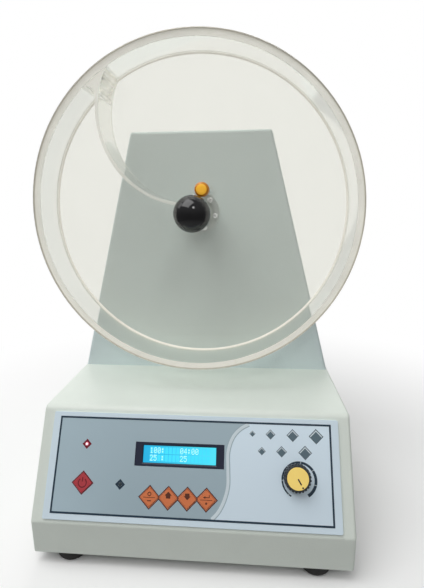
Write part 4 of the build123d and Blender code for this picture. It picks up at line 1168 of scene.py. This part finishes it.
class TESTER_OT_front_plate(bpy.types.Operator):
    """Prints the front plate: fields, frame line, dividing curve, diamonds and the speed scale"""

    bl_idname = "tester.front_plate"
    bl_label = "Front plate"

    def execute(self, context):
        size = sizes()
        (left, right), (low, high), _ = slope_box("front_panel")
        self.left, self.right = left + size.border_inset, right - size.border_inset
        self.low, self.high = low + size.border_low, high - size.border_high
        softened("front_panel", "front_plate", "stand", ink("plate"), edge=0.2 * MM)
        curve = self.divider()
        self.add_fields(curve)
        self.add_lines(curve, size)
        self.add_diamonds()
        self.add_key_outlines()
        self.add_scale(size)
        return {"FINISHED"}

    def divider(self):
        """The curve between the two fields, from the frame's foot to its head."""
        return smooth_curve([*moved(in_mm(DIVIDER_KNOTS), 0, self.low), (DIVIDER_END * MM, self.high)])

    def add_fields(self, curve):
        """The two printed fields on either side of the curve, with the openings in them."""
        holes = [key_hole(node) for node in (*KEYS, "power_key")]
        holes += [lamp_hole(node) for node in ("power_lamp", "ready_lamp")]
        (left, right), (low, high), _ = slope_box("display_frame")
        window = about("display_frame", rectangle(right - left, high - low))
        shade = [(self.left, self.low), *curve, (self.left, self.high)]
        print_piece("shade_field", [[shade, *holes, window]], 0, field_ink("shade_field", 0.10, 0.22))
        dial = about("speed_knob", circle(DIAL_HOLE * MM))
        light = [(self.right, self.low), (self.right, self.high), *curve[::-1]]
        print_piece("light_field", [[light, dial]], 0, field_ink("light_field", 0.10, 0))

    def add_lines(self, curve, size):
        """The frame line round both fields, and the two-toned line along the curve."""
        middle = (self.left + self.right) / 2, (self.low + self.high) / 2
        width, height = self.right - self.left, self.high - self.low
        frame_loops = []
        for growth in (size.border_line, -size.border_line):
            frame_loops.append(moved(rectangle(width + growth, height + growth), *middle))
        print_piece("frame_line", [frame_loops], 3, ink("border"))
        half = size.border_line / 2
        inside = [(u, v) for u, v in curve if self.low + half < v < self.high - half]
        print_piece("divider_shade", [[line(inside, size.divider_line)]], 1, ink("shade_field"))
        print_piece("divider_light", [[line(inside, size.divider_line * 0.62)]], 2, ink("glint"))

    def add_diamonds(self):
        """The slate diamonds in their layers, and the diamonds round the two lamps."""
        for name, reach, drop, layer, shade in DIAMOND_LAYERS:
            loops = [moved(diamond(half * reach), u, v - half * drop) for u, v, half in SLATE_DIAMONDS]
            print_piece(f"diamond_{name}", [[in_mm(loop)] for loop in loops], layer, ink(shade))
        for node, name, half, shade in LAMP_DIAMONDS:
            print_piece(name, [[about(node, diamond(half * MM)), lamp_hole(node)]], 1, ink(shade))

    def add_key_outlines(self):
        """The joined diamonds round the orange keys, and the one round the power key."""
        half_pitch = (slope_centre("up_key")[0] - slope_centre("set_key")[0]) / 2
        whole, gap = KEY_OUTLINE * MM, HALF_LINE * MM
        outlines, margins = [], []
        for node in KEYS:
            left = whole if node == KEYS[0] else half_pitch
            right = whole if node == KEYS[-1] else half_pitch
            outline = about(node, clipped_diamond(whole, left, right))
            margin = about(node, clipped_diamond(KEY_MARGIN * MM, left - gap, right - gap))
            outlines.append([outline, margin])
            margins.append([margin, key_hole(node)])
        print_piece("key_outlines", outlines, 1, ink("key_outline"))
        print_piece("key_margins", margins, 1, ink("orange"))
        rim = about("power_key", diamond(POWER_OUTLINE * MM))
        print_piece("power_outline", [[rim, key_hole("power_key")]], 1, ink("red_mark"))

    def add_scale(self, size):
        """The speed knob's scale, which widens from slow to fast, and the ticks across it."""
        centre = [place + shift for place, shift in zip(slope_centre("speed_knob"), size.dial_shift)]
        points, widths = [], []
        for i, (x, y) in enumerate(arc(1, SCALE_START, SCALE_END, SCALE_STEPS)):
            width = size.dial_thin + (size.dial_thick - size.dial_thin) * i / SCALE_STEPS
            radius = size.dial_radius - width / 2
            points.append((x * radius, y * radius))
            widths.append(width)
        print_piece("speed_scale", [[moved(ribbon(points, widths), *centre)]], 1, ink("border"))
        ends = size.dial_radius - size.dial_thick - 0.5 * MM, size.dial_radius + 0.2 * MM
        strokes = [line([polar(end, heading) for end in ends], 0.4 * MM) for heading in TICKS]
        print_piece("scale_ticks", [[moved(stroke, *centre)] for stroke in strokes], 2, ink("glint"))


# Display


# The rows of each sign's dots, from the top
DOTS = {
    "0": "01110 10001 10011 10101 11001 10001 01110",
    "1": "00100 01100 00100 00100 00100 00100 01110",
    "2": "01110 10001 00001 00010 00100 01000 11111",
    "4": "00010 00110 01010 10010 11111 00010 00010",
    "5": "11111 10000 11110 00001 00001 10001 01110",
    ":": "00000 01100 01100 00000 01100 01100 00000",
    " ": "00000 00000 00000 00000 00000 00000 00000",
}
DISPLAY_LINES = ("100:    04:00   ", "25 :    25      ")

# Widths and heights, in pitches of the dots across
SIGN_PITCH = 6
LINE_PITCH = 11.2
CELL = (5.2, 9.8)
DOT_RISE = 1.25
LIT_DOT = (0.9, 1.15)


class TESTER_OT_display(bpy.types.Operator):
    """Lights the display and writes its dot-matrix numbers"""

    bl_idname = "tester.display"
    bl_label = "Display"

    def execute(self, context):
        softened("display_frame", "display_bezel", "stand", bezel_black(), edge=0.3 * MM)
        paint(backlight(), "display_glass")
        cells, dots = [], []
        for row, text in enumerate(DISPLAY_LINES):
            for column, sign in enumerate(text):
                place = (column - (len(text) - 1) / 2) * SIGN_PITCH, (0.5 - row) * LINE_PITCH
                cells.append(moved(rectangle(*CELL), *place))
                dots += [moved(dot, *place) for dot in self.dots_of(sign)]
        dim, bright = shade_of("display_dim"), shade_of("display_bright")
        unlit = darker([(a + b) / 2 for a, b in zip(dim, bright)], 0.96)
        self.add_film("display_cells", cells, 0.03 * MM, glowing("unlit_cells", unlit, 0.9))
        self.add_film("display_digits", dots, 0.08 * MM, glowing("lit_dots", shade_of("digits"), 0.95))
        return {"FINISHED"}

    def dots_of(self, sign):
        """The lit dots of one sign, about its middle."""
        places = []
        for r, row in enumerate(DOTS[sign].split()):
            places += [(c - 2, (3 - r) * DOT_RISE) for c, mark in enumerate(row) if mark == "1"]
        return [moved(rectangle(*LIT_DOT), *place) for place in places]

    def add_film(self, name, loops, thickness, finish):
        """Outlines in dot pitches about the glass's middle, as a film on its face."""
        face = slope_box("display_glass")[2][1]
        dot = sizes().dot
        groups = [[about("display_glass", [(x * dot, y * dot) for x, y in loop])] for loop in loops]
        slope_piece(name, groups, face, face + thickness, finish)


# Keys and lamps


class TESTER_OT_keys(bpy.types.Operator):
    """Colours the keys and lamps and adds the marks on the keys"""

    bl_idname = "tester.keys"
    bl_label = "Keys and lamps"

    def execute(self, context):
        paint(key_cap("orange_key_cap", "orange"), *KEYS)
        paint(key_cap("red_key_cap", "red"), "power_key")
        paint(lit_lens(), "power_lamp")
        paint(dark_lens(), "ready_lamp")
        for node, groups in self.marks().items():
            self.add_mark(node, groups)
        return {"FINISHED"}

    def marks(self):
        """Each key's mark, in millimetres about the key's middle."""
        bar = line([(-5.2, 0), (5.2, 0)], 0.45)
        ring = [moved(circle(radius, 28), 0, 2.7) for radius in (1.7, 1.05)]
        dash = moved(rectangle(3.4, 0.8), 0, -2.6)
        dot = moved(circle(0.9, 20), 0, -2.7)
        bend = [
            (2.2, 4.0), (2.8, 4.0), (2.8, 1.7), (-0.9, 1.7), (-0.9, 0.9),
            (-2.9, 2.0), (-0.9, 3.1), (-0.9, 2.3), (2.2, 2.3),
        ]
        swirl, stroke = line(arc(3.6, 125, 415, 40), 0.9), line([(0, 1.0), (0, 4.6)], 0.9)
        return {
            "set_key": [[bar], ring, [dash]],
            "up_key": [[arrow(5.2, 2.1, -0.2)]],
            "down_key": [[arrow(-0.8, 2.3, 4.4)]],
            "enter_key": [[bar], [bend], [dot]],
            "power_key": [[swirl], [stroke]],
        }

    def add_mark(self, node, groups):
        """A thin mark that stands on a key's face."""
        face = slope_box(node)[2][1]
        placed = [[about(node, in_mm(loop)) for loop in loops] for loops in groups]
        colour = "red" if node == "power_key" else "orange"
        base, top = face - 0.02 * MM, face + 0.04 * MM
        slope_piece(f"{node}_mark", placed, base, top, ink(f"{colour}_mark"), body=node)


class TESTER_OT_speed_knob(bpy.types.Operator):
    """Finishes the speed knob, its shaft, nut and control"""

    bl_idname = "tester.speed_knob"
    bl_label = "Speed knob"

    def execute(self, context):
        paint(moulded("knob_skirt", (0.03, 0.035, 0.042), roughness=0.36), "speed_knob")
        paint(black_plastic(), "speed_control")
        paint(zinc(), "control_nut")
        paint(turned_steel(), "control_shaft")
        # The yellow cap's glow is painted light.
        paint(key_cap("yellow_cap", "yellow", 0.1), "speed_knob_cap")
        self.add_pointer()
        return {"FINISHED"}

    def add_pointer(self):
        """The black line in the cap's groove, with a dot at its outer end."""
        (left, right), _, (_, face) = slope_box("speed_knob_cap")
        heading, start, end, dot_place = -60, 0.1 * MM, 5.3 * MM, 0.87 * (right - left) / 2
        *ends, tip = about("speed_knob_cap", [polar(radius, heading) for radius in (start, end, dot_place)])
        shape = bmesh.new()
        prism(shape, SLOPE, [line(ends, 1.1 * MM)], face - 0.38 * MM, face - 0.05 * MM)
        prism(shape, SLOPE, [moved(circle(0.75 * MM, 20), *tip)], face - 0.2 * MM, face + 0.05 * MM)
        add_piece("pointer_line", shape, black_plastic(), "speed_knob")


# Drum


class TESTER_OT_drum(bpy.types.Operator):
    """Makes the clear drum: discs, wall, lifting arm, hub ring and the glue bead at the wall's foot"""

    bl_idname = "tester.drum"
    bl_label = "Drum"

    def execute(self, context):
        pieces = (
            ("drum_back", "back_disc", "drum", self.on_rim),
            ("drum_lid", "lid_disc", "lid", self.on_rim),
            ("drum_ring", "drum_wall", "drum", self.on_end),
            ("drum_arm", "lifting_arm", "drum", self.on_end),
            ("hub_ring", "hub_sleeve", "drum", self.on_end),
        )
        for node, name, body, is_cut in pieces:
            piece = softened(node, name, body, clear_acrylic(), edge=0.35 * MM)
            piece.data.materials.append(turned_edge())
            for face in piece.data.polygons:
                face.material_index = int(is_cut(face))
        self.add_glue(sizes().glue)
        return {"FINISHED"}

    def on_rim(self, face):
        """Whether a face is on a disc's outer edge."""
        return abs(face.normal.y) < 0.5 and from_axis(face.center) > 0.8 * RIM_RADIUS

    def on_end(self, face):
        """Whether a face is on an end that was cut square to the drum's axis."""
        return abs(face.normal.y) > 0.7

    def add_glue(self, width):
        """A bead of cement where the wall meets the back disc."""
        radius = min(from_axis(point) for point in corners_of("drum_ring"))
        hollow = 0.45 * width
        profile = [(radius, 0), (radius - width, 0), (radius - hollow, hollow), (radius, width)]
        shape = bmesh.new()
        turned(shape, across_drum(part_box("drum_ring")[1].y), profile, steps=192, closed=True)
        add_piece("wall_glue", shape, glue_bead(), "drum")


class TESTER_OT_hub(bpy.types.Operator):
    """Finishes the hub: ball knob, peg, screws, flange and shaft"""

    bl_idname = "tester.hub"
    bl_label = "Hub"

    def execute(self, context):
        paint(turned_steel(), "locating_peg", "drive_shaft", "output_shaft")
        paint(anodised(), "hub_flange")
        paint(black_plastic(), "knob_washer")
        paint(turned_brass(), "knob_insert")
        # The cap's darker amber is painted shade on its side, and its glow is painted light.
        paint(amber_plastic("amber_side", "amber", 0.08), "peg_cap")
        self.add_ball()
        self.add_cap_face()
        replace_screws(
            "hub_screws", "hub_fixings", "drum", radius=2.8, height=2, shank=1.5,
            recess=1.15, form=hexagon_form,
        )
        return {"FINISHED"}

    def add_ball(self):
        """The ball with its flat, its bore and the fine seam that its mould leaves."""
        low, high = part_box("ball_knob")
        radius = (high.x - low.x) / 2
        centre = low.y + radius
        flat = high.y - centre
        bore, bore_depth = 5.5 * MM, 14 * MM
        seam_half, seam_depth = 0.25 * MM, 0.12 * MM
        mouth = (radius**2 - flat**2) ** 0.5 - 0.3 * MM
        profile = [(bore, bore_depth - flat), (bore, -flat), (mouth, -flat)]
        start, end, steps = -asin(flat / radius), pi / 2 - 0.02, 40
        for i in range(steps + 1):
            heading = start + (end - start) * i / steps
            height = radius * sin(heading)
            dip = seam_depth if abs(height) < seam_half else 0
            profile.append((radius * cos(heading) - dip, height))
        shape = bmesh.new()
        turned(shape, across_drum(centre), profile, steps=96)
        add_piece("ball_grip", shape, phenolic(), "ball_knob", replaces=("ball_knob",))

    def add_cap_face(self):
        """The bright disc set in the peg cap's face."""
        place = middle_of("peg_cap")
        place.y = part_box("peg_cap")[0].y + 0.1 * MM
        profile = in_mm([(4.5, -0.3), (4.5, 0.15), (4.2, 0.35), (2.2, 0.5)])
        shape = bmesh.new()
        turned(shape, facing(place, DRUM_FRONT), profile, steps=48)
        # The face's amber is the lit copy of the cap's, and its glow is painted light.
        finish = amber_plastic("amber_face", "amber_face", 0.3)
        add_piece("peg_cap_face", shape, finish, "lid")


# Back and inside


# The sleeves of the inlet's pins, in millimetres: places from the inlet's middle, width and height,
# and ends from its mouth
PIN_PLACES = ((-7, 9), (7, 9), (0, 12.5))
PIN_SIZE = (2.1, 4.1)
PIN_ENDS = (-14.8, -2.4)

# Half the length and the radius of the space round the rocker's pins, in millimetres
ROCKER_PIN = (10, 1.8)

# From a board's lower face to just over its upper one, in millimetres
BOARD_FACE = 1.7


def back_face(node, x, z):
    """Where a line from behind meets a node, and which way the node's face looks there."""
    mesh = nodes[node].data
    tree = BVHTree.FromPolygons(corners_of(node), [face.vertices for face in mesh.polygons])
    spot, out, _, _ = tree.ray_cast(Vector((x, 1, z)), Vector((0, -1, 0)))
    return spot, out


class TESTER_OT_rear(bpy.types.Operator):
    """Finishes the mains inlet, fuse drawer and switch, and adds pins and marks"""

    bl_idname = "tester.rear"
    bl_label = "Back"

    def execute(self, context):
        pieces = (
            ("mains_inlet", "inlet_moulding", "stand"),
            ("fuse_drawer", "fuse_holder", "fuse_drawer"),
            ("switch_frame", "switch_bezel", "stand"),
            ("rocker", "rocker_cap", "rocker"),
        )
        for node, name, body in pieces:
            softened(node, name, body, black_plastic(), sharp=self.at_rocker_pin)
        self.add_pins()
        self.add_switch_marks()
        return {"FINISHED"}

    def at_rocker_pin(self, corner):
        """Whether a corner belongs to the rocker's pins or to the holes that they turn in."""
        x, y, z = joints["rocker_tilt"]["pos_m"]
        reach, radius = ROCKER_PIN
        return abs(corner.x - x) < reach * MM and hypot(corner.y - y, corner.z - z) < radius * MM

    def add_pins(self):
        """Nickel sleeves over the inlet's three pins."""
        middle = middle_of("mains_inlet")
        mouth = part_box("mains_inlet")[1].y
        shape = bmesh.new()
        for across, up in PIN_PLACES:
            place = facing((middle.x + across * MM, mouth, middle.z + up * MM), (0, 1, 0))
            prism(shape, place, [in_mm(rectangle(*PIN_SIZE))], *[end * MM for end in PIN_ENDS])
        add_piece("inlet_pins", shape, nickel(), "stand")

    def add_switch_marks(self):
        """The line and the ring that say on and off on the rocker's two ends."""
        low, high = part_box("rocker")
        middle, reach = (low + high) / 2, 0.22 * (high.z - low.z)
        bar, ring = [rectangle(0.7, 3.2)], [circle(1.5, 28), circle(0.9, 28)]
        shape = bmesh.new()
        for height, loops in ((middle.z + reach, bar), (middle.z - reach, ring)):
            place = facing(*back_face("rocker", middle.x, height))
            prism(shape, place, [in_mm(loop) for loop in loops], -0.1 * MM, 0.1 * MM)
        finish = print_ink("switch_white", (0.8, 0.8, 0.8))
        add_piece("rocker_marks", shape, finish, "rocker")


class TESTER_OT_inside(bpy.types.Operator):
    """Finishes the boards, the bearings and the drive inside the casings"""

    bl_idname = "tester.inside"
    bl_label = "Inside"

    def execute(self, context):
        slope_out, up = SLOPE.to_3x3() @ Vector((0, 0, 1)), Vector((0, 0, 1))
        for node, out in (("display_board", slope_out), ("control_board", slope_out), ("power_board", up)):
            heights = [point.dot(out) for point in corners_of(node)]
            bare = node == "display_board"
            level = max(heights) + 0.1 * MM if bare else min(heights) + BOARD_FACE * MM
            paint(circuit_board(f"{node}_face", tuple(out), level), node)
        rings = [node for node in nodes if "bearing_inner" in node or "bearing_outer" in node]
        paint(turned_steel(), *rings)
        paint(cast_aluminium(), "bearing_housing", "gearbox", "shaft_coupling")
        paint(plate_steel(), "motor_pillars", "motor_plate")
        paint(zinc(), "motor_screws")
        paint(motor_enamel(), "gear_motor")
        return {"FINISHED"}


# Panel and registration


OPERATORS = (
    TESTER_OT_stage,
    TESTER_OT_console,
    TESTER_OT_column,
    TESTER_OT_front_plate,
    TESTER_OT_display,
    TESTER_OT_keys,
    TESTER_OT_speed_knob,
    TESTER_OT_drum,
    TESTER_OT_hub,
    TESTER_OT_rear,
    TESTER_OT_inside,
)


class TESTER_PT_pieces(bpy.types.Panel):
    """Lists the tester's operators, colours and sizes"""

    bl_label = "Tablet tester"
    bl_idname = "TESTER_PT_pieces"
    bl_space_type = "VIEW_3D"
    bl_region_type = "UI"
    bl_category = "Tester"

    def draw(self, context):
        for operator in OPERATORS:
            self.layout.operator(operator.bl_idname)
        for group in (context.scene.tester_tones, context.scene.tester_sizes, context.scene.tester_stage):
            box = self.layout.box()
            for name in group.__annotations__:
                box.prop(group, name)


GROUPS = {"tester_tones": TesterTones, "tester_sizes": TesterSizes, "tester_stage": TesterStage}
CLASSES = (*GROUPS.values(), *OPERATORS, TESTER_PT_pieces)


def register():
    """Registers the classes and gives every scene its settings."""
    for made in CLASSES:
        bpy.utils.register_class(made)
    for name, group in GROUPS.items():
        setattr(bpy.types.Scene, name, PointerProperty(type=group))


def unregister():
    """Takes the settings and the classes away again."""
    for name in GROUPS:
        delattr(bpy.types.Scene, name)
    for made in reversed(CLASSES):
        bpy.utils.unregister_class(made)


def main():
    """Registers the classes and builds every piece in order."""
    register()
    for operator in OPERATORS:
        group, action = operator.bl_idname.split(".")
        getattr(getattr(bpy.ops, group), action)()


if __name__ == "__main__":
    main()
